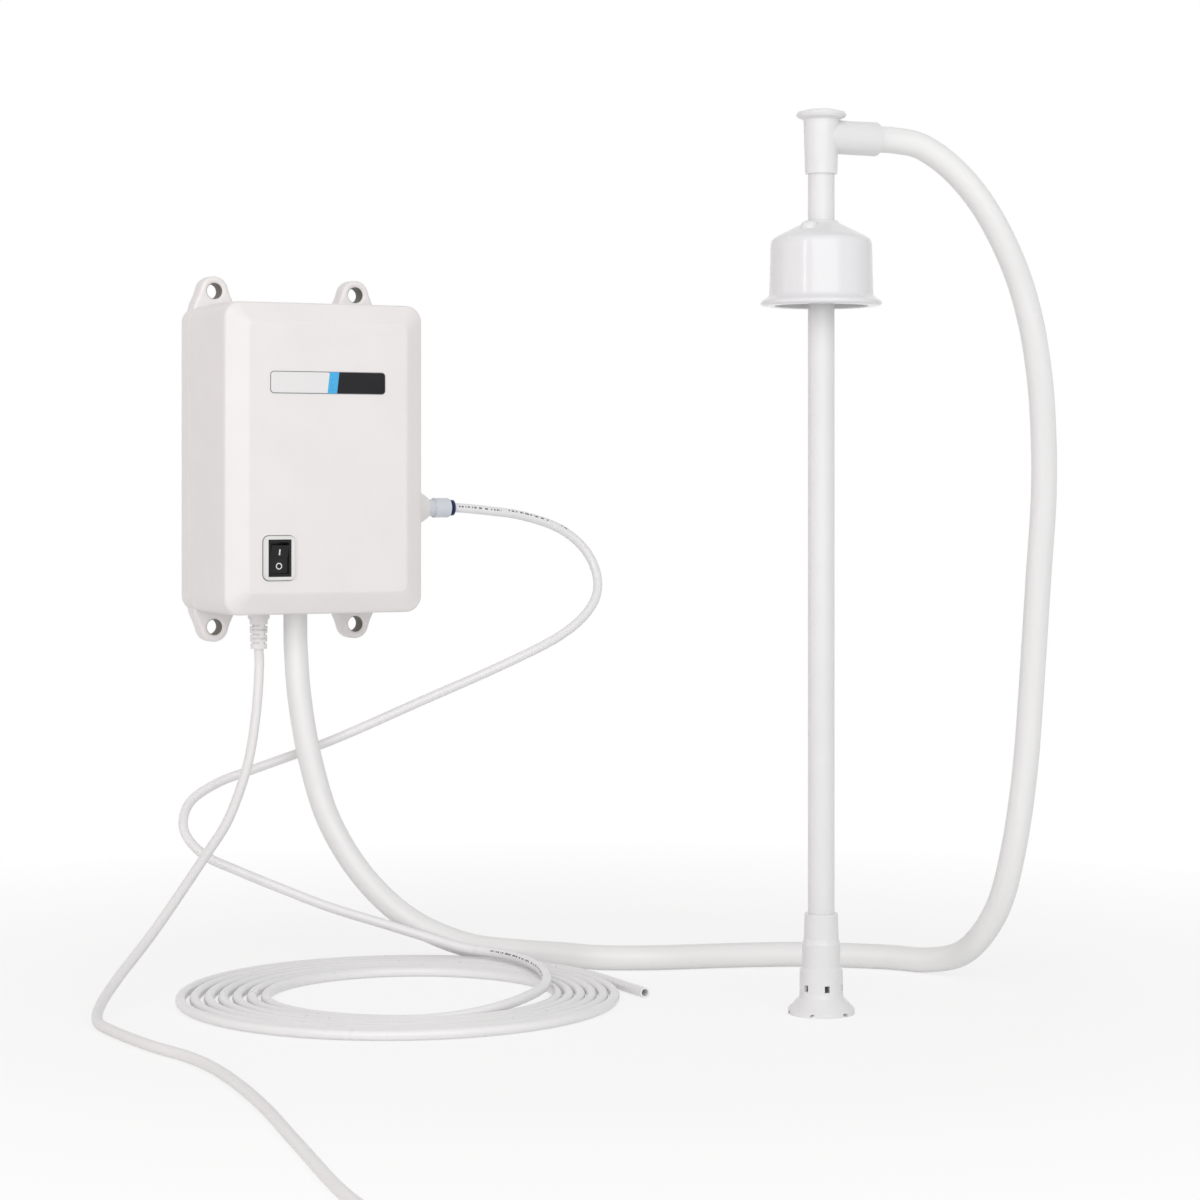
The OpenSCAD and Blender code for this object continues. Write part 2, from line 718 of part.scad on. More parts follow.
module valve_plate() {
  color([0.86, 0.86, 0.84])
  difference() {
    bar_z(head_top, valve_top, pump_x, pump_y, pump_r);
    for (a = [90:120:330]) {
      translate([pump_x + 13 * cos(a), pump_y + 13 * sin(a), valve_top - 4]) cylinder(h = 5, r = 8);
      translate([pump_x + 13 * cos(a), pump_y + 13 * sin(a), head_top - 1]) cylinder(h = 12, r = 1.5);
      translate([pump_x + 13 * cos(a), pump_y + 13 * sin(a), head_top - 1]) cylinder(h = 2.4, r = 5.5);
    }
    bolts_at() bar_z(head_top - 1, valve_top + 1, 0, 0, 2.1);
  }
}

module valve_discs() {
  color([0.5, 0.2, 0.15])
  for (a = [90:120:330]) {
    translate([pump_x + 13 * cos(a), pump_y + 13 * sin(a), head_top + 0.2]) cylinder(h = 1.2, r = 5.3);
  }
}

module pump_head() {
  color([0.14, 0.14, 0.15])
  difference() {
    union() {
      bar_z(head_z, head_top, pump_x, pump_y, pump_r);
      bar_x(pump_x + 20, link_mid - stub_gap, outlet_y, outlet_z, stub_r);
      bar_z(head_z - 4, head_z, inlet_x, entry_y, hose_r - 1);
      bar_z(head_z - 24, head_z - 3, inlet_x, entry_y, barb_r);
    }
    for (a = [90:120:330]) {
      translate([pump_x + 13 * cos(a), pump_y + 13 * sin(a), head_top - 8]) cylinder(h = 9, r = 4.5);
    }
    bar_z(head_z - 25, head_top - 16, inlet_x, entry_y, barb_r - 1.5);
    bar_x(pump_x + 8, link_mid, outlet_y, outlet_z, 2.2);
    bolts_at() bar_z(head_z - 1, head_top + 1, 0, 0, 2.1);
  }
}

module pump_screws() {
  color([0.75, 0.75, 0.77])
  bolts_at()
  difference() {
    union() {
      bar_z(head_z - 3, head_z, 0, 0, 3.4);
      bar_z(head_z, housing_z + 14, 0, 0, 2);
    }
    bar_z(head_z - 4, head_z - 1.4, 0, 0, 1.5, $fn = 6);
  }
}

module pressure_switch() {
  color([0.25, 0.25, 0.28]) {
    bar_z(head_z - 12, head_z, pump_x + 13, pump_y - 3, 8);
    for (s = [-3, 3]) {
      block(pump_x + 13 + s - 0.4, pump_x + 13 + s + 0.4, pump_y - 6, pump_y, head_z - 19, head_z - 12);
    }
  }
}

module pump_bracket() {
  mid = motor_z + motor_length / 2;
  color([0.65, 0.66, 0.68])
  difference() {
    union() {
      block(pump_x - 26, pump_x + 26, bracket_y, bracket_y + 3, mid - 24, mid + 24);
      block(pump_x - 14, pump_x + 14, pump_y + motor_r - 5, bracket_y + 1, mid - 18, mid + 18);
    }
    bar_z(mid - 30, mid + 30, pump_x, pump_y, motor_r);
    feet_at() bar_y(bracket_y + 4, bracket_y - 1, 0, 0, 1.9);
  }
}

module rubber_feet() {
  color([0.1, 0.1, 0.1])
  feet_at()
  difference() {
    bar_y(-wall, bracket_y + 3, 0, 0, 5);
    bar_y(0, bracket_y, 0, 0, 1.8);
  }
}

module bracket_screws() {
  color([0.75, 0.75, 0.77])
  feet_at() {
    bar_y(bracket_y, bracket_y - 2.4, 0, 0, 3.2);
    bar_y(-1, bracket_y, 0, 0, 1.55);
  }
}

module power_board() {
  color([0.1, 0.35, 0.18])
  block(-half_w + board_edge, pump_x - board_clear, board_y - board_t, board_y, board_low, board_high);
}

module transformer() {
  y = board_y - board_t;
  x = (pump_x - board_clear - half_w + board_edge) / 2;
  color([0.55, 0.5, 0.3]) {
    block(x - 17, x + 17, y - 26, y, 38, 62);
    block(x - 12, x + 12, y - 32, y - 25, 40, 60);
    block(x - 12, x + 12, y - 22, y, 32, 68);
  }
}

module capacitor() {
  color([0.12, 0.14, 0.3])
  bar_y(board_y - board_t, board_y - board_t - 24, -half_w + 20, 12, 7);
}

module terminal_block() {
  color([0.2, 0.45, 0.3])
  difference() {
    block(-half_w + 18, pump_x - 44, board_y - board_t - 11, board_y - board_t, -6, 3);
    for (k = [0:2]) {
      bar_y(board_y - board_t - 8, board_y - board_t - 12, -half_w + 21.5 + 6 * k, -1.5, 1.6);
    }
  }
}

module hose_end() {
  color([0.93, 0.93, 0.92])
  difference() {
    bar_z(hose_route[0][2], head_z - 4, inlet_x, entry_y, hose_r);
    bar_z(hose_route[0][2] - 1, head_z, inlet_x, entry_y, barb_r + 0.05);
  }
}

module wand_tube() {
  color([0.94, 0.94, 0.94])
  difference() {
    bar_z(floor_z + 44, head_low + 16, wand_x, wand_y, wand_r);
    bar_z(floor_z, head_low + 20, wand_x, wand_y, wand_r - wand_wall);
  }
}

module wand_head() {
  color([0.94, 0.94, 0.94])
  difference() {
    union() {
      translate([wand_x, wand_y, head_low])
        cylinder(h = head_high - head_low, r1 = wand_r + 1.7, r2 = wand_r + 2.7);
      bar_x(wand_x, wand_x + arm_end, wand_y, arm_z, arm_r);
    }
    bar_z(head_low - 1, head_low + 16, wand_x, wand_y, wand_r + 0.05);
    bar_z(head_low, head_high + 1, wand_x, wand_y, wand_r - wand_wall);
    bar_x(wand_x, wand_x + arm_end, wand_y, arm_z, hose_r - 2.5);
    bar_x(wand_x + socket_x, wand_x + arm_end + 1, wand_y, arm_z, hose_r + 0.1);
    bar_z(head_high, head_high + 20, wand_x, wand_y, 3 * arm_r);
  }
}

module head_plug() {
  rim = wand_r + 7.2;
  color([0.95, 0.95, 0.95])
  translate([wand_x, wand_y, head_high]) {
    rotate_extrude()
      polygon([[0, 0], [wand_r + 2.7, 0], [rim - 0.8, 1.5], [rim, 2.9], [rim - 1, 4.6], [rim - 6.2, 6],
        [0, 6]]);
    translate([0, 0, -2.5]) cylinder(h = 3, r = wand_r - wand_wall - 0.05);
  }
}

module bottle_cap() {
  h = cap_height;
  edge = cap_flange / 2;
  collar = wand_r + 1.4;
  color([0.96, 0.96, 0.97])
  translate([wand_x, wand_y, cap_z]) {
    rotate_extrude() polygon([[cap_in, 0], [edge - 2, 0], [edge, 2], [edge - 0.6, 3.4], [cap_r + 1.4, 5.6],
      [cap_r + 0.7, 7.5], [cap_r, h - 13], [cap_r - 0.8, h - 11], [cap_r - 2.6, h - 9.5],
      [collar + 1.6, h - 1.6], [collar + 0.6, h - 0.4], [collar, h], [wand_r + loose_fit, h],
      [wand_r + loose_fit, h - grommet_high], [grommet_r, h - grommet_high], [grommet_r, h - grommet_low],
      [cap_in, h - grommet_low]]);
    translate([-14, 0, h - 7]) cylinder(h = 5, r = 3.4);
  }
}

module cap_grommet() {
  color([0.2, 0.2, 0.2])
  translate([wand_x, wand_y, cap_z])
  difference() {
    bar_z(cap_height - grommet_low, cap_height - grommet_high, 0, 0, grommet_r);
    bar_z(cap_height - 15, cap_height - 6, 0, 0, wand_r + run_fit);
  }
}

module cap_seal() {
  color([0.85, 0.85, 0.83])
  translate([wand_x, wand_y, cap_z])
  difference() {
    bar_z(cap_height - 15, cap_height - grommet_low, 0, 0, cap_in);
    bar_z(cap_height - 16, cap_height - 13, 0, 0, cap_in - 6);
  }
}

module wand_foot() {
  f = foot_diameter / 2;
  color([0.95, 0.95, 0.95])
  translate([wand_x, wand_y, floor_z])
  difference() {
    rotate_extrude() polygon([[intake_r, 0], [f, 0], [f, 3], [f - 2.5, 5.5], [foot_r + 0.4, 10], [foot_r, 13],
      [foot_r, foot_h], [intake_r, foot_h]]);
    for (a = [0:60:300]) {
      rotate([0, 0, a + 15]) translate([8, -1.5, 14]) cube([10, 3, 4]);
      rotate([0, 0, a + 45]) translate([8, -1.8, -1]) cube([20, 3.6, 3.2]);
    }
  }
}

module valve_body() {
  cage_r = ball_r + 1.4;
  top_r = wand_r + 2;
  color([0.95, 0.95, 0.95])
  translate([wand_x, wand_y, floor_z])
    rotate_extrude() polygon([[seat_r, foot_h - 3], [intake_r - 0.1, foot_h - 3], [intake_r - 0.1, foot_h],
      [foot_r, foot_h], [foot_r, foot_h + 4], [cage_r + 3, foot_h + 6], [cage_r + 3, 42], [top_r + 0.5, 45],
      [top_r, 60], [wand_r + 0.05, 60], [wand_r + 0.05, 44], [seat_r, 44], [seat_r, 41], [cage_r, 41],
      [cage_r, seat_h], [seat_r, seat_h]]);
}

module check_ball() {
  color([0.85, 0.3, 0.2]) translate([wand_x, wand_y, floor_z + ball_h]) sphere(r = ball_r);
}

module suction_hose() {
  color([0.93, 0.93, 0.92]) sweep(curve(hose_route, 2), hose_r, 12, [1, 0, 0], [0, 0, -1], [-1, 0, 0]);
}

module outlet_tube() {
  color([0.93, 0.93, 0.93]) sweep(tube_path, tube_r, 8, [0, 0, 1], [1, 0, 0], ring_start);
}

module outlet_coil() {
  color([0.92, 0.92, 0.92]) sweep(ring_path, tube_r, 6, [0, 0, 1], ring_start, [0, -1, 0]);
}

module outlet_tube_end() {
  last = ring_path[len(ring_path) - 1];
  color([0.92, 0.92, 0.92])
  translate(last) rotate([90, 0, 0])
  difference() {
    cylinder(h = tube_end, r = tube_r);
    translate([0, 0, 6]) cylinder(h = tube_end, r = tube_r - 1);
  }
}

module power_cord() {
  color([0.9, 0.89, 0.89]) sweep(curve(cord_route, 2), cord_r, 8, [1, 0, 0], [0, 0, -1], [0, -1, 0]);
}

module cord_coil() {
  color([0.9, 0.89, 0.89]) sweep(bundle_path, cord_r, 6, [0, 0, 1], [0, -1, 0], [1, 0, 0]);
}

module cord_lead() {
  color([0.9, 0.89, 0.89]) sweep(lead_route, cord_r, 8, [0, 0, 1], [1, 0, 0], [1, 0, 0]);
}

module cord_tie() {
  inner = coil_radius(bundle_r, bundle_step, bundle_turns, bundle_turns / 2) - cord_r - 0.8;
  outer = bundle_r + cord_r + 0.8;
  x = bundle_mid[0];
  y = bundle_mid[1];
  color([0.1, 0.1, 0.1])
  difference() {
    block(x - outer - 1, x - inner + 1, y - 4, y + 4, floor_z, bundle_high + cord_r + 1.4);
    block(x - outer, x - inner, y - 5, y + 5, floor_z + 1, bundle_high + cord_r + 0.4);
  }
}

module plug_body() {
  color([0.9, 0.89, 0.89])
  translate([-150, -866, floor_z]) {
    translate([0, 0, 6.85]) rotate([0, 90, 0]) cylinder(h = 15.5, r1 = 4.2, r2 = 6.2);
    linear_extrude(13.7) polygon([[15, -7], [22, -9], [40, -15.5], [53, -17.6], [53, 17.6], [40, 15.5],
      [22, 9],
      [15, 7]]);
  }
}

module plug_pins() {
  color([0.8, 0.8, 0.82])
  for (s = [-9.3, 9.3]) {
    bar_x(-97, -78, -866 + s, floor_z + 6.85, 2);
  }
}

rear_housing();
front_cover();
cover_gasket();
cover_screws();
switch_frame();
switch_body();
switch_terminals();
switch_rocker();
outlet_fitting();
outlet_o_ring();
outlet_collet();
outlet_nut();
link_tube();
cord_relief();
motor_can();
motor_end_bell();
motor_magnets();
motor_brushes();
bearing_upper();
bearing_lower();
motor_shaft();
armature();
windings();
commutator();
drive_cam();
drive_housing();
wobble_plate();
diaphragm();
valve_plate();
valve_discs();
pump_head();
pump_screws();
pressure_switch();
pump_bracket();
rubber_feet();
bracket_screws();
power_board();
transformer();
capacitor();
terminal_block();
hose_end();
wand_tube();
wand_head();
head_plug();
bottle_cap();
cap_grommet();
cap_seal();
wand_foot();
valve_body();
check_ball();
suction_hose();
outlet_tube();
outlet_coil();
outlet_tube_end();
power_cord();
cord_coil();
cord_lead();
cord_tie();
plug_body();
plug_pins();
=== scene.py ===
"""Bottled water pump: a wall box, a suction hose to a bottle wand, an outlet tube and a mains cord."""
import math

import bpy
from mathutils import Matrix, Vector


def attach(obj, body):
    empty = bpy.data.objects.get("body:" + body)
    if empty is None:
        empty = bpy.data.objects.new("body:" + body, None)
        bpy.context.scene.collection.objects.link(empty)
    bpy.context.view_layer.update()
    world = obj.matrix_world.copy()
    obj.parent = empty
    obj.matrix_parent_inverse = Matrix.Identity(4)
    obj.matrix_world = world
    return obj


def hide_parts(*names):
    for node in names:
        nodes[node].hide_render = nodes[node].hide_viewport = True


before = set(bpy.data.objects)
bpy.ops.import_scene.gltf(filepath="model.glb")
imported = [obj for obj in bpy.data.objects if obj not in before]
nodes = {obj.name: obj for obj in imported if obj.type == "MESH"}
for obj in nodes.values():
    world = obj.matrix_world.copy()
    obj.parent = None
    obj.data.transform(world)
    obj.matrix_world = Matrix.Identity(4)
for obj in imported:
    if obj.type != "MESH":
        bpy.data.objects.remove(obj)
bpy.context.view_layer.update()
scene = bpy.context.scene

MM = 0.001
BAR_SIDES, EAR_STEPS = 64, 24
BASE = "pump_unit"

# Sizes in millimetres, nearly all as in the solids
FLOOR_Z = -334
CASE_W, CASE_H, CASE_D = 140, 205, 92
CORNER_R = 11
WALL = 3
REAR_D = 16
COVER_START = 16.8
BEVEL_W, BEVEL_D = 14, 8
EAR_X, EAR_Z = 51, 113
EAR_HOLE_R, EAR_R, EAR_BASE, EAR_T, EAR_SOFT = 5, 10, 31, 14, 2.3
# The ears begin this far inside the box, and lie this far in from its flat back
EAR_ROOT_IN, EAR_SINK = 6, 0.03
# The painted shade on an ear's hole wall reaches this far into its edge
BORE_SHADE_EDGE = 0.4
# The cover screws' distance in from the box's sides, their wells' radius and depth, and their shafts' radius
PILLAR_IN, WELL_R, WELL_D, SHAFT_R = 12, 4, 6, 1.9
SWITCH_X, SWITCH_Z = -35, -65
SWITCH_HOLE = (16, 24.4)
FRAME_W, FRAME_H = 22, 29
# The rocker's tilt at rest in degrees, half its height, and its pivot's depth behind the panel
ROCKER_TILT, ROCKER_HALF, PIVOT_IN = 8, 9.3, 4
OUTLET_Y, OUTLET_Z = -58, -33
BOSS_X = 85
ENTRY_Y, INLET_X, RELIEF_X = -44, -5, -31
FITTING_HOLE_R, RELIEF_HOLE_R = 5.1, 5.2
# Where the three lines leave the object
HOSE_R, CORD_R, TUBE_R = 8, 3.2, 3.175
WAND_X, WAND_Y, WAND_R = 200, -384, 8
CAP_Z, CAP_H = 90, 51.5
CAP_IN, CAP_R, CAP_EDGE = 28.2, 30.6, 36.5
CAP_HOLE_R, GROMMET_R = WAND_R + 0.3, 12
# The vent boss's place on the cap, from the wand's axis
VENT_X, VENT_Y = -12.5, -7.4


# Camera at the photograph's angle: its place in metres, its turn in degrees
CAMERA_PLACE = (-0.7358, -1.9281, -0.0141)
CAMERA_TURN = -27
FOCAL_LENGTH, SENSOR_WIDTH, SHIFT_Y = 90, 36, -0.1

camera = bpy.data.cameras.new("camera")
camera.lens = FOCAL_LENGTH
camera.sensor_width = SENSOR_WIDTH
camera.shift_y = SHIFT_Y
camera_object = bpy.data.objects.new("camera", camera)
camera_object.location = CAMERA_PLACE
camera_object.rotation_euler = (math.radians(90), 0, math.radians(CAMERA_TURN))
scene.collection.objects.link(camera_object)
scene.camera = camera_object
scene.view_settings.view_transform = "Standard"


# Materials: sizes of features and depths in metres
CLOUD_SIZE, GLOSS_SIZE, STREAK_SIZE, LINE_GLOSS_SIZE = 0.035, 0.006, 0.004, 0.008
BUMP_DEPTH = 0.0001
# Roughness varies by this much to both sides
GLOSS_SPREAD = 0.05
# Noise values that become the lowest and highest roughness, and the darkest and lightest colour
NOISE_LOW, NOISE_HIGH = 0.3, 0.7
BLEND_LOW, BLEND_HIGH = 0.35, 0.65
# Length streaks of a drawn line, by its UV
DRAWN_SCALE, DRAWN_STRETCH = 9.0, (0.8, 0.5, 1.0)
# Printed dashes on a line: the scale of the noise along it, half their height as a part of a turn, their ink
DASH_SCALE, DASH_HALF = 420.0, 0.028
PRINT_INK = (0.09, 0.09, 0.11, 1)


class Surface:
    """A procedural material: nodes are added by short calls and wired to one shader."""

    def __init__(self, name):
        self.material = bpy.data.materials.new(name)
        self.material.use_nodes = True
        self.tree = self.material.node_tree
        self.shader = self.tree.nodes["Principled BSDF"]
        self.coords = self.tree.nodes.new("ShaderNodeTexCoord")

    def add(self, kind, **settings):
        node = self.tree.nodes.new(kind)
        for key, value in settings.items():
            setattr(node, key, value)
        return node

    def link(self, a, b):
        self.tree.links.new(a, b)

    def noise(self, size, detail=3.0, stretch=None):
        """Noise with features of about that size in metres, stretched by a factor along each axis."""
        noise = self.add("ShaderNodeTexNoise")
        noise.inputs["Scale"].default_value = 1.0 / size
        noise.inputs["Detail"].default_value = detail
        source = self.coords.outputs["Object"]
        if stretch:
            mapping = self.add("ShaderNodeMapping")
            mapping.inputs["Scale"].default_value = stretch
            self.link(source, mapping.inputs["Vector"])
            source = mapping.outputs["Vector"]
        self.link(source, noise.inputs["Vector"])
        return noise.outputs["Fac"]

    def blend(self, value, dark, light):
        """A colour between dark and light, by a noise value."""
        ramp = self.add("ShaderNodeValToRGB")
        first, last = ramp.color_ramp.elements
        first.position, last.position = BLEND_LOW, BLEND_HIGH
        first.color = (*dark, 1)
        last.color = (*light, 1)
        self.link(value, ramp.inputs["Fac"])
        return ramp.outputs["Color"]

    def spread(self, value, low, high):
        """A number between low and high, by a noise value."""
        mapped = self.add("ShaderNodeMapRange")
        mapped.inputs["From Min"].default_value = NOISE_LOW
        mapped.inputs["From Max"].default_value = NOISE_HIGH
        mapped.inputs["To Min"].default_value = low
        mapped.inputs["To Max"].default_value = high
        self.link(value, mapped.inputs["Value"])
        return mapped.outputs["Result"]

    def bump(self, value, strength):
        """Fine relief on the surface."""
        bump = self.add("ShaderNodeBump")
        bump.inputs["Strength"].default_value = strength
        bump.inputs["Distance"].default_value = BUMP_DEPTH
        self.link(value, bump.inputs["Height"])
        self.link(bump.outputs["Normal"], self.shader.inputs["Normal"])

    def set(self, **values):
        """Sets constant values on the shader's own sockets."""
        for key, value in values.items():
            self.shader.inputs[key.replace("_", " ")].default_value = value


def shade(colour, factor):
    """The colour made lighter or darker by a factor."""
    return tuple(min(1.0, c * factor) for c in colour)


def moulded(name, colour, rough, tint=0.03, grain=0.12, grain_size=0.0007, coat=0.0, soft=0.0, shine=0.5):
    """Moulded plastic or rubber: faint cloudy tint, uneven gloss and a fine mould grain."""
    s = Surface(name)
    cloudy = s.blend(s.noise(CLOUD_SIZE), shade(colour, 1 - tint), shade(colour, 1 + tint))
    uneven = s.spread(s.noise(GLOSS_SIZE), rough - GLOSS_SPREAD, rough + GLOSS_SPREAD)
    s.link(cloudy, s.shader.inputs["Base Color"])
    s.link(uneven, s.shader.inputs["Roughness"])
    s.bump(s.noise(grain_size, 2.0), grain)
    s.set(Coat_Weight=coat, Coat_Roughness=0.12, Specular_IOR_Level=shine, Subsurface_Weight=soft,
          Subsurface_Radius=(0.004, 0.0035, 0.003), Subsurface_Scale=0.5)
    return s.material


def metal(name, colour, rough, stretch=(1, 1, 12)):
    """Drawn or turned metal: fine streaks in colour, gloss and height."""
    s = Surface(name)
    streak = s.noise(STREAK_SIZE, 4.0, stretch)
    s.link(s.blend(streak, shade(colour, 0.86), shade(colour, 1.08)), s.shader.inputs["Base Color"])
    s.link(s.spread(streak, rough - 0.07, rough + 0.1), s.shader.inputs["Roughness"])
    s.bump(streak, 0.15)
    s.set(Metallic=1.0)
    return s.material


def extruded(name, colour, rough, marks=()):
    """A drawn line: faint streaks along it, and printed dashes at marks of start, end and turn."""
    s = Surface(name)
    uv = s.add("ShaderNodeSeparateXYZ")
    s.link(s.coords.outputs["UV"], uv.inputs["Vector"])
    along, around = uv.outputs["X"], uv.outputs["Y"]

    def maths(operation, *values):
        """A maths node, whose values are numbers or other nodes' outputs."""
        node = s.add("ShaderNodeMath", operation=operation)
        for socket, value in zip(node.inputs, values):
            if isinstance(value, (int, float)):
                socket.default_value = value
            else:
                s.link(value, socket)
        return node.outputs["Value"]

    drawn = s.add("ShaderNodeTexNoise")
    drawn.inputs["Scale"].default_value = DRAWN_SCALE
    stretched = s.add("ShaderNodeMapping")
    stretched.inputs["Scale"].default_value = DRAWN_STRETCH
    s.link(s.coords.outputs["UV"], stretched.inputs["Vector"])
    s.link(stretched.outputs["Vector"], drawn.inputs["Vector"])
    tint = s.blend(drawn.outputs["Fac"], shade(colour, 0.965), shade(colour, 1.02))
    if marks:
        places = None
        for start, end, turn in marks:
            length = maths("COMPARE", along, (start + end) / 2, (end - start) / 2)
            height = maths("COMPARE", maths("FRACT", around), turn, DASH_HALF)
            here = maths("MULTIPLY", length, height)
            places = here if places is None else maths("ADD", places, here)
        dash = s.add("ShaderNodeTexNoise", noise_dimensions="1D")
        dash.inputs["Scale"].default_value = DASH_SCALE
        dash.inputs["Detail"].default_value = 1.0
        s.link(along, dash.inputs["W"])
        shown = maths("MULTIPLY", places, maths("GREATER_THAN", dash.outputs["Fac"], 0.5))
        print_mix = s.add("ShaderNodeMix", data_type="RGBA")
        s.link(shown, print_mix.inputs["Factor"])
        s.link(tint, print_mix.inputs["A"])
        print_mix.inputs["B"].default_value = PRINT_INK
        tint = print_mix.outputs["Result"]
    s.link(tint, s.shader.inputs["Base Color"])
    s.link(s.spread(s.noise(LINE_GLOSS_SIZE), rough - 0.05, rough + 0.06), s.shader.inputs["Roughness"])
    s.set(Coat_Weight=0.1, Coat_Roughness=0.2, Subsurface_Weight=0.04,
          Subsurface_Radius=(0.003, 0.003, 0.003), Subsurface_Scale=0.4)
    return s.material


# Each print on the outlet tube: its start and end in metres, and its place round the tube as a part of a turn
PRINT_PLACES = ((0.0155, 0.049, 0.2), (0.054, 0.087, 0.16), (0.097, 0.104, 0.12), (0.733, 0.85, 0.17),
                (4.657, 4.673, 0.83))
shell_mat = moulded("shell_plastic", (0.85, 0.828, 0.82), 0.36, tint=0.012, grain=0.16, grain_size=0.0009)
# Painted shade: a dark brown-grey that stands for the shade inside the ears' screw holes
bore_shade_mat = moulded("bore_painted_shade", (0.2, 0.183, 0.152), 0.55, tint=0.25, grain=0.3)
seal_mat = moulded("seal_rubber", (0.62, 0.60, 0.59), 0.6)
frame_mat = moulded("switch_frame_plastic", (0.80, 0.80, 0.79), 0.22, coat=0.3)
switch_mat = moulded("switch_black_plastic", (0.01, 0.01, 0.011), 0.22, tint=0.2, coat=0.08, shine=0.25)
mark_mat = moulded("switch_mark_ink", (0.82, 0.82, 0.80), 0.45)
fitting_mat = moulded("fitting_plastic", (0.67, 0.71, 0.76), 0.24, coat=0.4, soft=0.1)
navy_mat = moulded("collet_plastic", (0.01, 0.018, 0.11), 0.28, tint=0.15, coat=0.1, shine=0.3)
relief_mat = moulded("relief_rubber", (0.85, 0.835, 0.84), 0.48, grain=0.2)
wand_mat = moulded("wand_plastic", (0.795, 0.795, 0.8), 0.2, tint=0.012, grain=0.03, coat=0.1, soft=0.06,
                   shine=0.35)
cap_mat = moulded("cap_plastic", (0.79, 0.79, 0.805), 0.14, tint=0.01, grain=0.02, coat=0.2, soft=0.05,
                  shine=0.4)
hose_mat = extruded("hose_plastic", (0.85, 0.85, 0.848), 0.38)
tube_mat = extruded("tube_plastic", (0.85, 0.845, 0.85), 0.32, PRINT_PLACES)
cord_mat = extruded("cord_plastic", (0.83, 0.82, 0.822), 0.45)
plug_mat = moulded("plug_plastic", (0.83, 0.82, 0.822), 0.4, grain=0.2)
tie_mat = moulded("tie_plastic", (0.02, 0.02, 0.022), 0.5, tint=0.15)
steel_mat = metal("steel", (0.62, 0.63, 0.65), 0.3)
plated_mat = metal("plated_pins", (0.76, 0.75, 0.72), 0.18, (10, 1, 1))
zinc_mat = metal("zinc_steel", (0.55, 0.56, 0.58), 0.42)
copper_mat = metal("copper", (0.72, 0.36, 0.2), 0.35)
brass_mat = metal("brass", (0.75, 0.57, 0.28), 0.3)
ferrite_mat = moulded("ferrite", (0.06, 0.06, 0.065), 0.7, tint=0.2, grain=0.4)
carbon_mat = moulded("carbon", (0.05, 0.045, 0.04), 0.65, tint=0.2, grain=0.4)
black_mat = moulded("black_plastic", (0.025, 0.025, 0.028), 0.5, tint=0.15)
rubber_mat = moulded("black_rubber", (0.018, 0.018, 0.018), 0.65, tint=0.15, grain=0.25)
valve_mat = moulded("valve_rubber", (0.36, 0.1, 0.07), 0.6, tint=0.08)
pale_mat = moulded("pale_plastic", (0.72, 0.72, 0.68), 0.45)
board_mat = moulded("board_lacquer", (0.02, 0.17, 0.06), 0.3, tint=0.1, coat=0.3)
core_mat = moulded("core_tape", (0.42, 0.32, 0.09), 0.55, tint=0.1)
sleeve_mat = moulded("capacitor_sleeve", (0.03, 0.04, 0.14), 0.3, tint=0.1)
terminal_mat = moulded("terminal_plastic", (0.04, 0.22, 0.1), 0.45, tint=0.08)
ball_mat = moulded("ball_plastic", (0.55, 0.12, 0.06), 0.25)

NODE_MATERIALS = {
    shell_mat: ["rear_housing", "front_cover"],
    seal_mat: ["cover_gasket", "cap_seal"],
    frame_mat: ["switch_frame"],
    switch_mat: ["switch_body", "switch_rocker"],
    fitting_mat: ["outlet_fitting", "outlet_nut"],
    navy_mat: ["outlet_collet"],
    relief_mat: ["cord_relief"],
    wand_mat: ["wand_tube", "wand_head", "head_plug", "wand_foot", "valve_body"],
    cap_mat: ["bottle_cap"],
    hose_mat: ["hose_end", "suction_hose"],
    tube_mat: ["outlet_tube", "outlet_coil", "outlet_tube_end", "link_tube"],
    cord_mat: ["power_cord", "cord_coil", "cord_lead"],
    plug_mat: ["plug_body"],
    plated_mat: ["plug_pins"],
    tie_mat: ["cord_tie"],
    steel_mat: ["cover_screws", "motor_shaft", "bearing_upper", "bearing_lower", "pump_screws",
                "bracket_screws", "drive_cam", "armature"],
    zinc_mat: ["motor_can", "pump_bracket"],
    copper_mat: ["windings", "commutator"],
    brass_mat: ["switch_terminals"],
    ferrite_mat: ["motor_magnets"],
    carbon_mat: ["motor_brushes"],
    black_mat: ["motor_end_bell", "drive_housing", "pump_head", "pressure_switch"],
    rubber_mat: ["outlet_o_ring", "diaphragm", "rubber_feet", "cap_grommet"],
    valve_mat: ["valve_discs"],
    pale_mat: ["wobble_plate", "valve_plate"],
    board_mat: ["power_board"],
    core_mat: ["transformer"],
    sleeve_mat: ["capacitor"],
    terminal_mat: ["terminal_block"],
    ball_mat: ["check_ball"],
}
for look, names in NODE_MATERIALS.items():
    for name in names:
        mesh = nodes[name].data
        mesh.materials.clear()
        mesh.materials.append(look)


# Mesh helpers, in millimetres until the mesh is made
def mesh_of(name, verts, faces):
    """A mesh in metres from points in millimetres."""
    mesh = bpy.data.meshes.new(name)
    mesh.from_pydata([tuple(c * MM for c in v) for v in verts], [], faces)
    return mesh


def piece(name, solid, look, body, sharp=32):
    """One mesh object in the shared frame that rides on a body; edges above the sharp angle stay crisp."""
    mesh = mesh_of(name, *solid)
    mesh.validate()
    mesh.shade_smooth()
    mesh.set_sharp_from_angle(angle=math.radians(sharp))
    mesh.materials.append(look)
    obj = bpy.data.objects.new(name, mesh)
    scene.collection.objects.link(obj)
    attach(obj, body)
    return obj


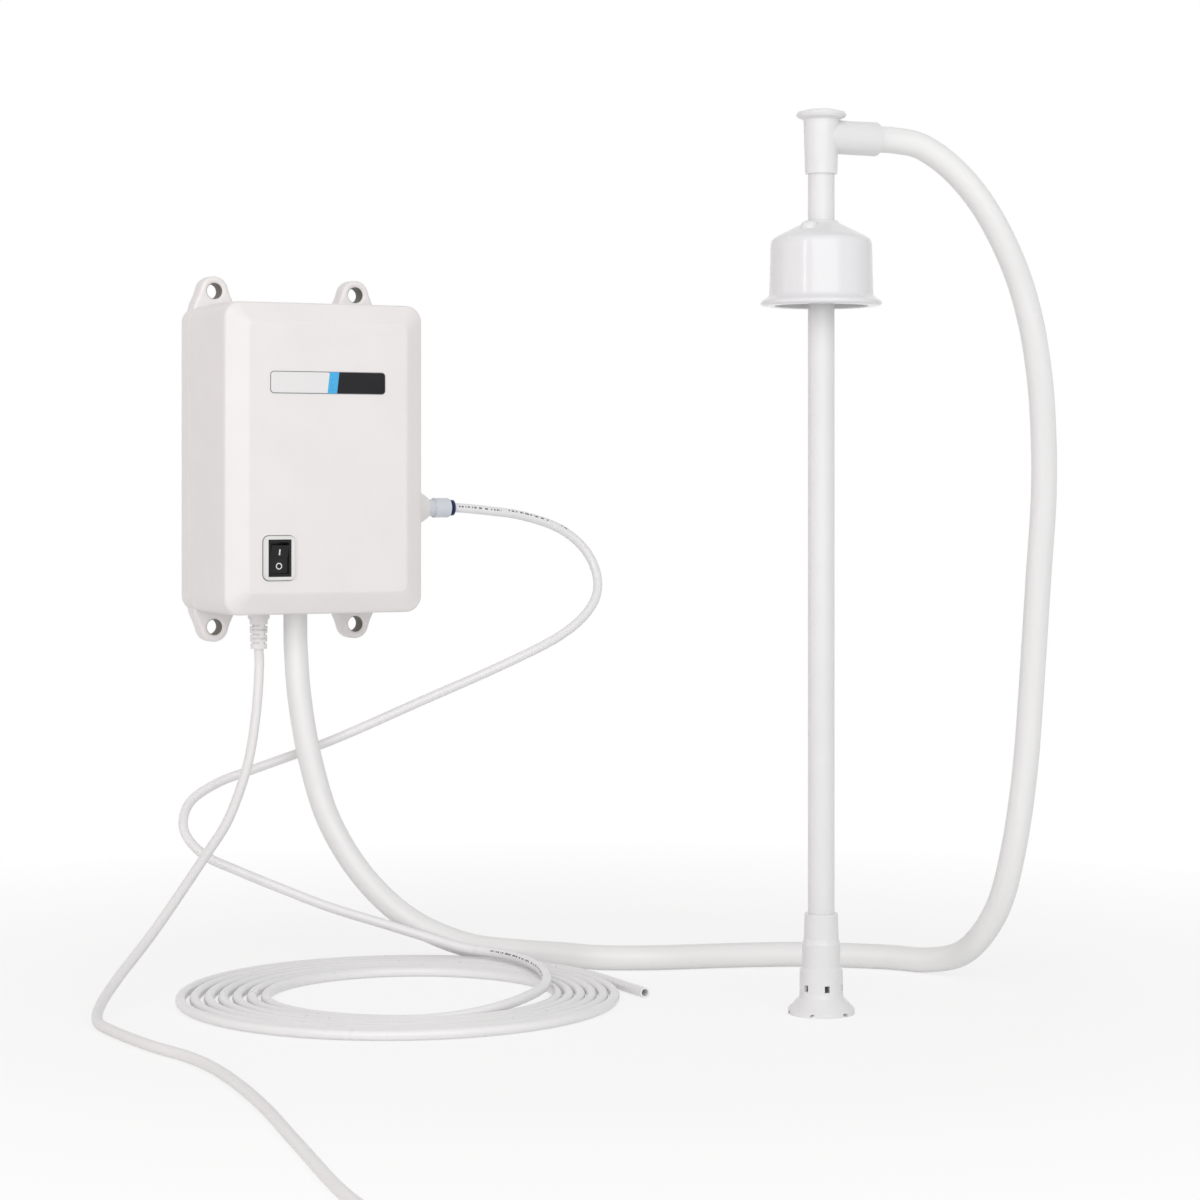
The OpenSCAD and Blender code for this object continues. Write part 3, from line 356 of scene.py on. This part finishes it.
def softened(points, rounds):
    """Cuts the corners of an open line of points, which rounds its bends and keeps its ends."""
    for _ in range(rounds):
        cut = [points[0]]
        for a, b in zip(points, points[1:]):
            cut.append(tuple(p * 0.75 + q * 0.25 for p, q in zip(a, b)))
            cut.append(tuple(p * 0.25 + q * 0.75 for p, q in zip(a, b)))
        points = cut + [points[-1]]
    return points


def circle(radius, sides):
    """Points of a circle about the middle."""
    angles = [2 * math.pi * k / sides for k in range(sides)]
    return [(radius * math.cos(a), radius * math.sin(a)) for a in angles]


def rounded_rect(width, height, radius, per_corner):
    """Points of a rounded rectangle about the middle, in X and Z."""
    points = []
    for quarter in range(4):
        middle = math.radians(90 * quarter + 45)
        cx = math.copysign(width / 2 - radius, math.cos(middle))
        cz = math.copysign(height / 2 - radius, math.sin(middle))
        for k in range(per_corner + 1):
            a = math.radians(90 * quarter + 90 * k / per_corner)
            points.append((cx + radius * math.cos(a), cz + radius * math.sin(a)))
    return points


def loft(rings, closed_ends=True, start=0):
    """Points and faces of rings of equal length, with the points numbered from start."""
    n = len(rings[0])
    verts = [p for ring in rings for p in ring]
    faces = []
    for i in range(len(rings) - 1):
        for k in range(n):
            m = (k + 1) % n
            faces.append([start + j for j in (i * n + k, i * n + m, (i + 1) * n + m, (i + 1) * n + k)])
    if closed_ends:
        faces.append([start + k for k in reversed(range(n))])
        faces.append([start + (len(rings) - 1) * n + k for k in range(n)])
    return verts, faces


def turned(profile, place, sides, start=0):
    """A closed profile of radius and height, turned round an axis that place sets."""
    rings = [[place(a, b, h) for a, b in circle(r, sides)] for r, h in profile]
    verts, faces = loft(rings + [rings[0]], False, start)
    count = len(profile) * sides
    wrap = {start + count + k: start + k for k in range(sides)}
    return verts[:count], [[wrap.get(i, i) for i in f] for f in faces]


def upright(x, y, z):
    """An axis that runs up from a place."""
    return lambda a, b, h: (x + a, y + b, z + h)


def sideways(y, z):
    """An axis that runs to the right, along X."""
    return lambda a, b, h: (h, y + a, z + b)


def inwards(x, z):
    """An axis that runs into the box from the wall plane."""
    return lambda a, b, h: (x + a, -h, z + b)


def cut_out(obj, cutters, sharp):
    """Takes the cutter solids away from a piece and keeps the result as its mesh, with its crisp edges."""
    made = []
    for solid in cutters:
        cutter = bpy.data.objects.new("cutter", mesh_of("cutter", *solid))
        scene.collection.objects.link(cutter)
        made.append(cutter)
        step = obj.modifiers.new("cut", "BOOLEAN")
        step.operation = "DIFFERENCE"
        step.solver = "EXACT"
        step.object = cutter
    result = bpy.data.meshes.new_from_object(obj.evaluated_get(bpy.context.evaluated_depsgraph_get()))
    result.set_sharp_from_angle(angle=math.radians(sharp))
    obj.modifiers.clear()
    obj.data = result
    for cutter in made:
        mesh = cutter.data
        bpy.data.objects.remove(cutter)
        bpy.data.meshes.remove(mesh)


def box_solid(x0, x1, y0, y1, z0, z1):
    """A box between two values on each axis."""
    verts = [(x, y, z) for x in (x0, x1) for y in (y0, y1) for z in (z0, z1)]
    faces = [[0, 1, 3, 2], [4, 6, 7, 5], [0, 4, 5, 1], [2, 3, 7, 6], [0, 2, 6, 4], [1, 5, 7, 3]]
    return verts, faces


def bar_solid(radius, low, high, place):
    """A round bar along an axis that place sets."""
    return loft([[place(a, b, h) for a, b in circle(radius, BAR_SIDES)] for h in (low, high)])


# Free lines: the same routes and coils as the solids
HOSE_ROUTE = [
    (-5, -44, -112), (-5, -45, -128), (-4, -50, -162), (1, -57, -202), (11, -66, -242), (30, -79, -278),
    (56, -96, -306), (88, -115, -322), (118, -136, -326), (138, -160, -326), (154, -182, -326),
    (186, -199, -326), (232, -212, -326), (280, -231, -326), (320, -263, -326), (338, -293, -325),
    (346, -323, -315), (353, -346, -287), (358, -357, -248), (362, -364, -197), (363, -370, -140),
    (362, -378, -79), (360, -387, -23), (355, -393, 24), (349, -396, 59), (341, -397, 91),
    (329, -397, 121), (311, -395, 152), (291, -391, 175), (270, -387, 189), (252, -384, 192.3),
    (238, -384, 192.3), (222, -384, 192.3)]
TUBE_ROUTE = [
    (92, -58, -33), (106, -58, -33), (130, -56, -35), (160, -53, -39), (188, -53, -48), (206, -57, -63),
    (212, -64, -83), (203, -72, -102), (177, -77, -121), (134, -72, -141), (82, -53, -165),
    (26, -31, -191), (-24, -18, -209), (-49, -13, -218), (-70, -17, -230), (-79, -32, -246),
    (-71, -48, -261), (-50, -57, -272), (-26, -68, -283), (4, -84, -296), (36, -102, -307),
    (62, -118, -316), (79, -131, -321.5), (92, -148, -323), (97, -172, -323), (96, -198, -323),
    (91, -224, -323), (82, -249, -323), (74, -266, -323)]
CORD_ROUTE = [
    (-31, -44, -126.5), (-31, -45, -140), (-36, -52, -170), (-46, -63, -202), (-65, -80, -234),
    (-88, -98, -256), (-135, -141, -293), (-170, -176, -315), (-190, -203, -326), (-201, -231, -330.6),
    (-203, -262, -330.7), (-198, -316, -330.7), (-189, -364, -330.7), (-189, -416, -330.7),
    (-198, -494, -330.7), (-215, -589, -330.7), (-233, -690, -330.5), (-239, -760, -329.7),
    (-240, -800, -329.5), (-240, -824, -329.5)]
LEAD_ROUTE = [
    (-198, -866, -322.6), (-190, -866, -322.8), (-172, -866, -324.8), (-158, -866, -326.8),
    (-150, -866, -327.1)]
RING_MID, RING_R, RING_STEP, RING_DRIFT = (-8, -230), 138, 7.85, (0.7, -0.37)
RING_FROM, RING_LANDING = -35, 0.22
RING_TURNS = 7 + RING_FROM / 360
RING_LOW, RING_HIGH = FLOOR_Z + 3.3, FLOOR_Z + 11
BUNDLE_MID, BUNDLE_R, BUNDLE_STEP, BUNDLE_TURNS, BUNDLE_FROM = (-198, -824), 42, 7.4, 3.25, 180
BUNDLE_LOW, BUNDLE_HIGH = FLOOR_Z + 4.5, FLOOR_Z + 11.4
TUBE_END, TUBE_WALL, TUBE_BORE_DEPTH = 60, 1, 30
RINGS_PER_TURN = 60
STEPS_PER_POINT = 6
HOSE_SIDES, THIN_SIDES = 32, 24
# Where the sine of a line's slant from the vertical is below this, its top keeps its last turn
NEARLY_UPRIGHT = 0.3


def through(points):
    """A smooth curve through the route's points."""
    points = [Vector(p) for p in points]
    padded = [2 * points[0] - points[1]] + points + [2 * points[-1] - points[-2]]
    path = []
    for a, b, c, d in zip(padded, padded[1:], padded[2:], padded[3:]):
        for j in range(STEPS_PER_POINT):
            t = j / STEPS_PER_POINT
            path.append(0.5 * (2 * b + (c - a) * t + (2 * a - 5 * b + 4 * c - d) * t * t
                               + (3 * b - a - 3 * c + d) * t ** 3))
    return path + [points[-1]]


def ease(t):
    """A smooth step from 0 to 1."""
    return 0.5 - 0.5 * math.cos(math.pi * min(1, max(0, t)))


def along_turns(turns, place):
    """Points of a coil, whose place is given by the turns gone."""
    count = math.ceil(turns * RINGS_PER_TURN)
    return [Vector(place(turns * i / count)) for i in range(count + 1)]


def ring_at(s):
    """The flat floor coil: down into its inner loop, then outwards along the floor."""
    loops_in = RING_TURNS - s
    angle = math.radians(RING_FROM - 360 * s)
    radius = RING_R - RING_STEP * loops_in
    return (RING_MID[0] + RING_DRIFT[0] * loops_in + radius * math.cos(angle),
            RING_MID[1] + RING_DRIFT[1] * loops_in + radius * math.sin(angle),
            RING_HIGH + (RING_LOW - RING_HIGH) * ease(s / RING_LANDING))


def bundle_at(s):
    """The put-away coil in two layers: in on the first, over at the turning point, out on the second."""
    angle = math.radians(BUNDLE_FROM + 360 * s)
    radius = BUNDLE_R - BUNDLE_STEP * min(s, BUNDLE_TURNS - s)
    return (BUNDLE_MID[0] + radius * math.cos(angle), BUNDLE_MID[1] + radius * math.sin(angle),
            BUNDLE_LOW + (BUNDLE_HIGH - BUNDLE_LOW) * ease(2 * (s - BUNDLE_TURNS / 2) + 0.5))


def line(name, path, radius, sides, look, bore=0.0, depth=0.0):
    """A round line along a path. UV x is the length in metres, UV y the turn round it from the top."""
    rings, lengths, turns = [], [], []
    side, run, turn = None, 0.0, 0.0
    for i, point in enumerate(path):
        heading = (path[min(i + 1, len(path) - 1)] - path[max(i - 1, 0)]).normalized()
        if i:
            run += (point - path[i - 1]).length * MM
        up = Vector((0, 0, 1)) - heading * heading.z
        level = up.length > NEARLY_UPRIGHT
        if side is None:
            side = up if level else Vector((1, 0, 0))
        side = (side - heading * side.dot(heading)).normalized()
        across = heading.cross(side)
        if level:
            top = math.atan2(up.dot(across), up.dot(side)) / (2 * math.pi)
            turn = top + round(turn - top)
        spokes = [side * a + across * b for a, b in circle(1, sides)]
        rings.append([tuple(point + radius * v) for v in spokes])
        lengths.append(run)
        turns.append(turn)
    if bore:
        for back in (0.0, depth):
            rings.append([tuple(path[-1] - heading * back + bore * v) for v in spokes])
            lengths.append(run)
            turns.append(turn)
    obj = piece(name, loft(rings), look, BASE, sharp=50)
    layer = obj.data.uv_layers.new(name="length")
    for polygon in obj.data.polygons:
        steps = [obj.data.loops[i].vertex_index % sides for i in polygon.loop_indices]
        wraps = 0 in steps and sides - 1 in steps and len(steps) == 4
        for i, k in zip(polygon.loop_indices, steps):
            row = obj.data.loops[i].vertex_index // sides
            part = 1.0 if wraps and k == 0 else k / sides
            layer.data[i].uv = (lengths[row], part - turns[row])
    return obj


hose_path = through(HOSE_ROUTE)
hose = line("hose", hose_path, HOSE_R, HOSE_SIDES, hose_mat)
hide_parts("suction_hose")

ring_path = along_turns(RING_TURNS, ring_at)
tube_path = through(TUBE_ROUTE + [tuple(ring_path[0])])[:-1] + ring_path
tube_path.append(ring_path[-1] + Vector((0, -TUBE_END, 0)))
outlet_line = line("outlet_line", tube_path, TUBE_R, THIN_SIDES, tube_mat,
                   TUBE_R - TUBE_WALL, TUBE_BORE_DEPTH)
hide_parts("outlet_tube", "outlet_coil", "outlet_tube_end")

cord_path = through(CORD_ROUTE)[:-1] + along_turns(BUNDLE_TURNS, bundle_at) + through(LEAD_ROUTE)[1:]
mains_cord = line("mains_cord", cord_path, CORD_R, THIN_SIDES, cord_mat)
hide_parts("power_cord", "cord_coil", "cord_lead")


# Front cover: a tray with soft mitred slopes round its panel, and the outlet boss
CASE_CORNER_STEPS = 16
SHELL_SHARP = 40


def at_depth(points, depth):
    """Points in X and Z, set at a depth in front of the wall plane."""
    return [(x, -depth, z) for x, z in points]


def tray_rings(profile, last_radius):
    """Rings of a rounded outline along a profile of depth and inset; the corners tighten with the inset."""
    deepest = profile[-1][1]
    rings = []
    for depth, inset in profile:
        radius = CORNER_R + (last_radius - CORNER_R) * inset / deepest
        outline = rounded_rect(CASE_W - 2 * inset, CASE_H - 2 * inset, radius, CASE_CORNER_STEPS)
        rings.append(at_depth(outline, depth))
    return rings


bevel_start = CASE_D - BEVEL_D
outer = [(COVER_START, 0.35), (COVER_START + 0.4, 0)] + softened(
    [(COVER_START + 1, 0), (bevel_start - 5, 0), (bevel_start + 0.2, 0.3), (bevel_start + 1.7, 2.4),
     (CASE_D - 0.5, BEVEL_W - 0.9), (CASE_D, BEVEL_W + 0.7), (CASE_D, BEVEL_W + 2)], 4)
inner = [(COVER_START, WALL), (bevel_start - 3, WALL), (CASE_D - WALL, BEVEL_W + 2.5)]
cover_rings = list(reversed(tray_rings(inner, 5))) + tray_rings(outer, 3)
cover = piece("cover_shell", loft(cover_rings), shell_mat, BASE, SHELL_SHARP)
half_h, half_w = CASE_H / 2, CASE_W / 2
hole_w, hole_h = SWITCH_HOLE[0] / 2, SWITCH_HOLE[1] / 2
under, inside = -half_h - 4, -half_h + 6
cut_out(cover, [
    box_solid(SWITCH_X - hole_w, SWITCH_X + hole_w, -CASE_D - 6, -CASE_D + 6,
              SWITCH_Z - hole_h, SWITCH_Z + hole_h),
    bar_solid(HOSE_R + 0.3, under, inside, upright(INLET_X, ENTRY_Y, 0)),
    bar_solid(RELIEF_HOLE_R, under, inside, upright(RELIEF_X, ENTRY_Y, 0)),
    bar_solid(FITTING_HOLE_R, half_w - 8, half_w + 4, sideways(OUTLET_Y, OUTLET_Z))], SHELL_SHARP)
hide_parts("front_cover")

boss_profile = softened([
    (FITTING_HOLE_R, half_w - 1), (19, half_w - 1), (18.6, half_w + 0.1), (16.2, half_w + 1.4),
    (13.2, half_w + 5), (10.6, half_w + 9.5), (7.9, BOSS_X - 1.2), (7, BOSS_X), (FITTING_HOLE_R, BOSS_X)], 3)
boss_solid = turned(boss_profile, sideways(OUTLET_Y, OUTLET_Z), 72)
piece("outlet_boss", boss_solid, shell_mat, BASE, sharp=60)


# Rear housing: a shallow tray and its ears
rear_outer = softened([(0, 1.6), (0.1, 0.2), (1.8, 0), (REAR_D - 0.5, 0), (REAR_D, 0.35)], 2)
rear_inner = [(REAR_D, WALL), (WALL, WALL)]
rear_rings = tray_rings(rear_outer + rear_inner, CORNER_R - WALL)
rear = piece("rear_shell", loft(rear_rings), shell_mat, BASE, SHELL_SHARP)
screw_places = [(sx * (half_w - PILLAR_IN), sz * (half_h - PILLAR_IN)) for sx in (-1, 1) for sz in (-1, 1)]
cut_out(rear, [bar_solid(WELL_R, -1, WALL + 1, inwards(x, z)) for x, z in screw_places], SHELL_SHARP)
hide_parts("rear_housing")

# Wells for the cover screws, as sleeves that line the holes in the back
well_in, well_out = WELL_R - 0.05, WELL_R + 1.5
well_profile = [(well_in, 0.5), (well_out, 0.5), (well_out, WELL_D + 1), (SHAFT_R, WELL_D + 1),
                (SHAFT_R, WELL_D), (well_in, WELL_D)]
well_verts, well_faces = [], []
for x, z in screw_places:
    verts, faces = turned(well_profile, inwards(x, z), 48, len(well_verts))
    well_verts += verts
    well_faces += faces
piece("screw_wells", (well_verts, well_faces), shell_mat, BASE, SHELL_SHARP)


def ear_outline(sx, sz):
    """Outline of an ear in X and Z: a round end that flares into the box."""
    tip, side = EAR_R * 0.28, EAR_R * 0.96
    root = half_h - EAR_ROOT_IN - EAR_Z
    half = EAR_BASE / 2
    flare = softened([(half, root), (half - 0.6, root + 6.6), (side + 1.2, -1.5), (side, tip)], 2)
    first = math.degrees(math.atan2(tip, side))
    top = [(EAR_R * math.cos(math.radians(a)), EAR_R * math.sin(math.radians(a)))
           for a in (first + (180 - 2 * first) * k / EAR_STEPS for k in range(EAR_STEPS + 1))]
    points = flare + top[1:-1] + [(-x, z) for x, z in reversed(flare)]
    return [(sx * EAR_X + x, sz * (EAR_Z + z)) for x, z in points]


def ear(name, sx, sz):
    """An ear with soft edges and a round screw hole, whose wall is painted dark as shade."""
    flat = bpy.data.curves.new(name, "CURVE")
    flat.dimensions = "2D"
    flat.fill_mode = "BOTH"
    flat.extrude = (EAR_T / 2 - EAR_SOFT) * MM
    flat.bevel_depth = EAR_SOFT * MM
    flat.bevel_resolution = 4
    flat.offset = -EAR_SOFT * MM
    hole = [(sx * EAR_X + a, sz * EAR_Z + b) for a, b in circle(EAR_HOLE_R, 48)]
    for outline in (ear_outline(sx, sz), hole):
        spline = flat.splines.new("POLY")
        spline.points.add(len(outline) - 1)
        for p, (x, z) in zip(spline.points, outline):
            p.co = (x * MM, z * MM, 0, 1)
        spline.use_cyclic_u = True
    carrier = bpy.data.objects.new(name + "_flat", flat)
    scene.collection.objects.link(carrier)
    mesh = bpy.data.meshes.new_from_object(carrier.evaluated_get(bpy.context.evaluated_depsgraph_get()))
    bpy.data.objects.remove(carrier)
    to_wall = Matrix.Translation((0, -(EAR_T / 2 + EAR_SINK) * MM, 0))
    mesh.transform(to_wall @ Matrix.Rotation(math.radians(90), 4, "X"))
    mesh.shade_smooth()
    mesh.set_sharp_from_angle(angle=math.radians(30))
    mesh.materials.clear()
    mesh.materials.append(shell_mat)
    mesh.materials.append(bore_shade_mat)
    middle = Vector((sx * EAR_X * MM, sz * EAR_Z * MM))
    # The faces of each hole's wall get the painted shade
    for face in mesh.polygons:
        away = (Vector((face.center.x, face.center.z)) - middle).length
        face.material_index = int(away < (EAR_HOLE_R + BORE_SHADE_EDGE) * MM)
    obj = bpy.data.objects.new(name, mesh)
    scene.collection.objects.link(obj)
    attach(obj, BASE)


for sz, level in ((1, "upper"), (-1, "lower")):
    for sx, hand in ((-1, "left"), (1, "right")):
        ear("ear_" + level + "_" + hand, sx, sz)


# Bottle cap: a glossy turned shell with soft edges, and its small vent boss
flange = [(CAP_IN, 0.6), (CAP_IN + 0.6, 0), (CAP_EDGE - 2.4, 0), (CAP_EDGE, 1.0), (CAP_EDGE - 0.2, 3.2),
          (CAP_R + 2.6, 4.9), (CAP_R + 0.8, 6.6), (CAP_R + 0.6, 9)]
shoulder = [(CAP_R, CAP_H - 20), (CAP_R - 0.1, CAP_H - 12.4), (CAP_R - 3, CAP_H - 9.75),
            (CAP_R - 7.6, CAP_H - 7.46), (13, CAP_H - 2.6), (10.4, CAP_H - 1), (9.9, CAP_H),
            (CAP_HOLE_R, CAP_H)]
cap_inside = [(CAP_HOLE_R, CAP_H - 7.5), (GROMMET_R, CAP_H - 7.5), (GROMMET_R, CAP_H - 13.5),
              (CAP_IN, CAP_H - 13.5)]
cap_profile = softened(flange + shoulder, 3) + cap_inside
cap_solid = turned(cap_profile, upright(WAND_X, WAND_Y, CAP_Z), 128)
cap = piece("cap_shell", cap_solid, cap_mat, "cap", sharp=35)
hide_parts("bottle_cap")

# The vent's profile begins and ends in a tiny ring, which closes its bottom and top
tiny = 0.01
vent_profile = [(tiny, CAP_H - 7)] + softened(
    [(6.1, CAP_H - 7), (5.5, CAP_H - 4.6), (4.8, CAP_H - 2.4), (3.3, CAP_H - 1.2), (tiny, CAP_H - 1)], 3)
vent_solid = turned(vent_profile, upright(WAND_X + VENT_X, WAND_Y + VENT_Y, CAP_Z), 48)
piece("cap_vent", vent_solid, cap_mat, "cap", sharp=50)


# Blank two-tone plate on the panel
PLATE_SHARP = 30


def plate(name, x0, x1, z0, z1, radius, lift, look, slant=0.0):
    """A thin plate on the front panel with soft edges; slant leans its ends."""
    mid_x, mid_z = (x0 + x1) / 2, (z0 + z1) / 2
    rings = []
    for depth, inset in ((CASE_D - 0.05, 0), (CASE_D + lift * 0.7, 0), (CASE_D + lift, 0.12)):
        outline = rounded_rect(x1 - x0 - 2 * inset, z1 - z0 - 2 * inset, radius, 8)
        rings.append(at_depth([(mid_x + x + slant * z, mid_z + z) for x, z in outline], depth))
    return piece(name, loft(rings), look, BASE, PLATE_SHARP)


# Grey ink for the plate's printed edge; the same material paints the shadow line round the switch frame
grey_ink_and_shadow = moulded("plate_edge", (0.16, 0.16, 0.17), 0.4, tint=0.1)
dark_ink = moulded("plate_dark", (0.014, 0.014, 0.016), 0.36, tint=0.15, grain=0.16, grain_size=0.0009,
                   shine=0.2)
pale_ink = moulded("plate_pale", (0.82, 0.82, 0.82), 0.36, tint=0.01, grain=0.16, grain_size=0.0009)
blue_ink = moulded("plate_blue", (0.05, 0.42, 0.78), 0.3, tint=0.05, coat=0.2)

# Left, right, bottom, top, corner radius and lift of each plate in millimetres
plate("plate_edge", -41, 40, 42.4, 57, 2.6, 0.25, grey_ink_and_shadow)
plate("plate_pale", -40.5, 1.4, 42.9, 56.5, 2.2, 0.4, pale_ink)
plate("plate_dark", 4.6, 39.6, 42.8, 56.6, 2.2, 0.38, dark_ink)
plate("plate_blue", -0.4, 6.4, 42.6, 56.8, 0.6, 0.5, blue_ink, slant=0.12)

# Painted shadow: a thin dark line round the switch frame stands for the shade in the gap at its edge, open
# under the frame
shadow_w, shadow_h = FRAME_W / 2 + 0.5, FRAME_H / 2 + 0.5
switch_shadow_line = plate("switch_shadow_line", SWITCH_X - shadow_w, SWITCH_X + shadow_w, SWITCH_Z - shadow_h, SWITCH_Z + shadow_h,
                    4.4, 0.12, grey_ink_and_shadow)
cut_out(switch_shadow_line, [box_solid(SWITCH_X - 9, SWITCH_X + 9, -CASE_D - 2, -CASE_D + 2,
                                SWITCH_Z - 13, SWITCH_Z + 13)], PLATE_SHARP)


# Switch marks: a bar and a ring, sunk a little into the tilted rocker
def on_rocker(x, up, out):
    """A place on the rocker: across, along its height from the pivot, and out from its pivot line."""
    tilt = math.radians(ROCKER_TILT)
    y, z = -out, up
    return (SWITCH_X + x, -CASE_D + PIVOT_IN + y * math.cos(tilt) - z * math.sin(tilt),
            SWITCH_Z + y * math.sin(tilt) + z * math.cos(tilt))


def rocker_face(up):
    """How far the rocker's hollow face stands out from its pivot line."""
    return 4.2 + 1.3 * abs(up) / ROCKER_HALF


def mark_place(middle):
    """Places of a mark whose middle is that far up the rocker."""
    return lambda a, b, out: on_rocker(a, b + middle, rocker_face(b + middle) + out)


MARK_UP, MARK_SUNK, MARK_PROUD = 4.6, -0.3, 0.06
RING_IN, RING_OUT = 1.5, 2.15
bar_place = mark_place(MARK_UP)
bar_outline = rounded_rect(0.9, 4.0, 0.25, 4)
bar_rings = [[bar_place(x, z, out) for x, z in bar_outline] for out in (MARK_SUNK, MARK_PROUD)]
piece("mark_on", loft(bar_rings), mark_mat, "rocker")
ring_profile = [(RING_IN, MARK_SUNK), (RING_OUT, MARK_SUNK), (RING_OUT, MARK_PROUD), (RING_IN, MARK_PROUD)]
piece("mark_off", turned(ring_profile, mark_place(-MARK_UP), 40), mark_mat, "rocker")


# Soft edges on moulded nodes that stay
for name, width in (("plug_body", 1.6), ("cord_tie", 0.4), ("switch_body", 0.3)):
    step = nodes[name].modifiers.new("soft_edges", "BEVEL")
    step.width = width * MM
    step.segments = 3
    step.limit_method = "ANGLE"
    step.angle_limit = math.radians(35)


# Floor, light and background
WORLD_COLOUR, WORLD_LIGHT = (1.0, 0.99, 0.985, 1), 0.46
FLOOR_COLOUR = (0.94, 0.94, 0.94, 1)
FLOOR_HALF, FLOOR_MID, FLOOR_GAP = 6, (0.1, -0.25), 0.0002
# The floor's own white grows from this share near the object to 1, between these distances in metres
WHITE_NEAR, NEAR, FAR = 0.75, 0.3, 0.8


def white_where_seen(tree):
    """1 for rays that show the background: seen directly, mirrored or through something."""
    path = tree.nodes.new("ShaderNodeLightPath")
    total = path.outputs["Is Camera Ray"]
    for name in ("Is Glossy Ray", "Is Transmission Ray"):
        higher = tree.nodes.new("ShaderNodeMath")
        higher.operation = "MAXIMUM"
        tree.links.new(total, higher.inputs[0])
        tree.links.new(path.outputs[name], higher.inputs[1])
        total = higher.outputs["Value"]
    return total


world = bpy.data.worlds.new("studio")
scene.world = world
world.use_nodes = True
tree = world.node_tree
tree.nodes.clear()
lit = tree.nodes.new("ShaderNodeBackground")
lit.inputs["Color"].default_value = WORLD_COLOUR
lit.inputs["Strength"].default_value = WORLD_LIGHT
seen = tree.nodes.new("ShaderNodeBackground")
seen.inputs["Color"].default_value = (1, 1, 1, 1)
seen.inputs["Strength"].default_value = 1.0
either = tree.nodes.new("ShaderNodeMixShader")
tree.links.new(white_where_seen(tree), either.inputs["Fac"])
tree.links.new(lit.outputs["Background"], either.inputs[1])
tree.links.new(seen.outputs["Background"], either.inputs[2])
output = tree.nodes.new("ShaderNodeOutputWorld")
tree.links.new(either.outputs["Shader"], output.inputs["Surface"])

floor_mat = bpy.data.materials.new("floor")
floor_mat.use_nodes = True
tree = floor_mat.node_tree
tree.nodes.clear()
matte = tree.nodes.new("ShaderNodeBsdfDiffuse")
matte.inputs["Color"].default_value = FLOOR_COLOUR
glow = tree.nodes.new("ShaderNodeEmission")
glow.inputs["Strength"].default_value = 1.0
coords = tree.nodes.new("ShaderNodeTexCoord")
reach = tree.nodes.new("ShaderNodeVectorMath")
reach.operation = "LENGTH"
tree.links.new(coords.outputs["Object"], reach.inputs[0])
fade = tree.nodes.new("ShaderNodeMapRange")
fade.inputs["From Min"].default_value = NEAR
fade.inputs["From Max"].default_value = FAR
fade.inputs["To Min"].default_value = WHITE_NEAR
tree.links.new(reach.outputs["Value"], fade.inputs["Value"])
shown = tree.nodes.new("ShaderNodeMath")
shown.operation = "MULTIPLY"
tree.links.new(fade.outputs["Result"], shown.inputs[0])
tree.links.new(white_where_seen(tree), shown.inputs[1])
mixed = tree.nodes.new("ShaderNodeMixShader")
tree.links.new(shown.outputs["Value"], mixed.inputs["Fac"])
tree.links.new(matte.outputs["BSDF"], mixed.inputs[1])
tree.links.new(glow.outputs["Emission"], mixed.inputs[2])
output = tree.nodes.new("ShaderNodeOutputMaterial")
tree.links.new(mixed.outputs["Shader"], output.inputs["Surface"])

corners = [(FLOOR_HALF * x, FLOOR_HALF * y, 0) for x, y in ((-1, -1), (1, -1), (1, 1), (-1, 1))]
floor_mesh = bpy.data.meshes.new("floor")
floor_mesh.from_pydata(corners, [], [[0, 1, 2, 3]])
floor_mesh.materials.append(floor_mat)
floor = bpy.data.objects.new("floor", floor_mesh)
floor.location = (*FLOOR_MID, FLOOR_Z * MM - FLOOR_GAP)
scene.collection.objects.link(floor)


def softbox(name, place, aim, size, power, colour=(1, 1, 1)):
    """A rectangular soft lamp: width and height in metres, power in watts."""
    lamp = bpy.data.lights.new(name, "AREA")
    lamp.shape = "RECTANGLE"
    lamp.size, lamp.size_y = size
    lamp.energy = power
    lamp.color = colour
    obj = bpy.data.objects.new(name, lamp)
    obj.location = place
    obj.rotation_euler = (Vector(aim) - Vector(place)).to_track_quat("-Z", "Y").to_euler()
    scene.collection.objects.link(obj)


softbox("key_light", (-0.85, -2.8, 0.75), (0.05, -0.1, -0.05), (3.0, 3.0), 45)
softbox("side_strip", (-1.3, -1.0, 0.25), (0.05, -0.2, 0), (0.14, 1.5), 3, (1, 0.9, 0.89))
softbox("side_fill", (-1.5, 0.3, 0.1), (0, -0.05, 0), (1.0, 1.4), 2, (1, 0.84, 0.83))
softbox("fill_light", (1.7, -1.9, 0.6), (0.1, -0.1, -0.1), (1.4, 1.4), 1.5, (0.94, 0.97, 1))
softbox("top_light", (0.2, -0.5, 2.2), (0.1, -0.25, -0.3), (1.8, 1.8), 4)
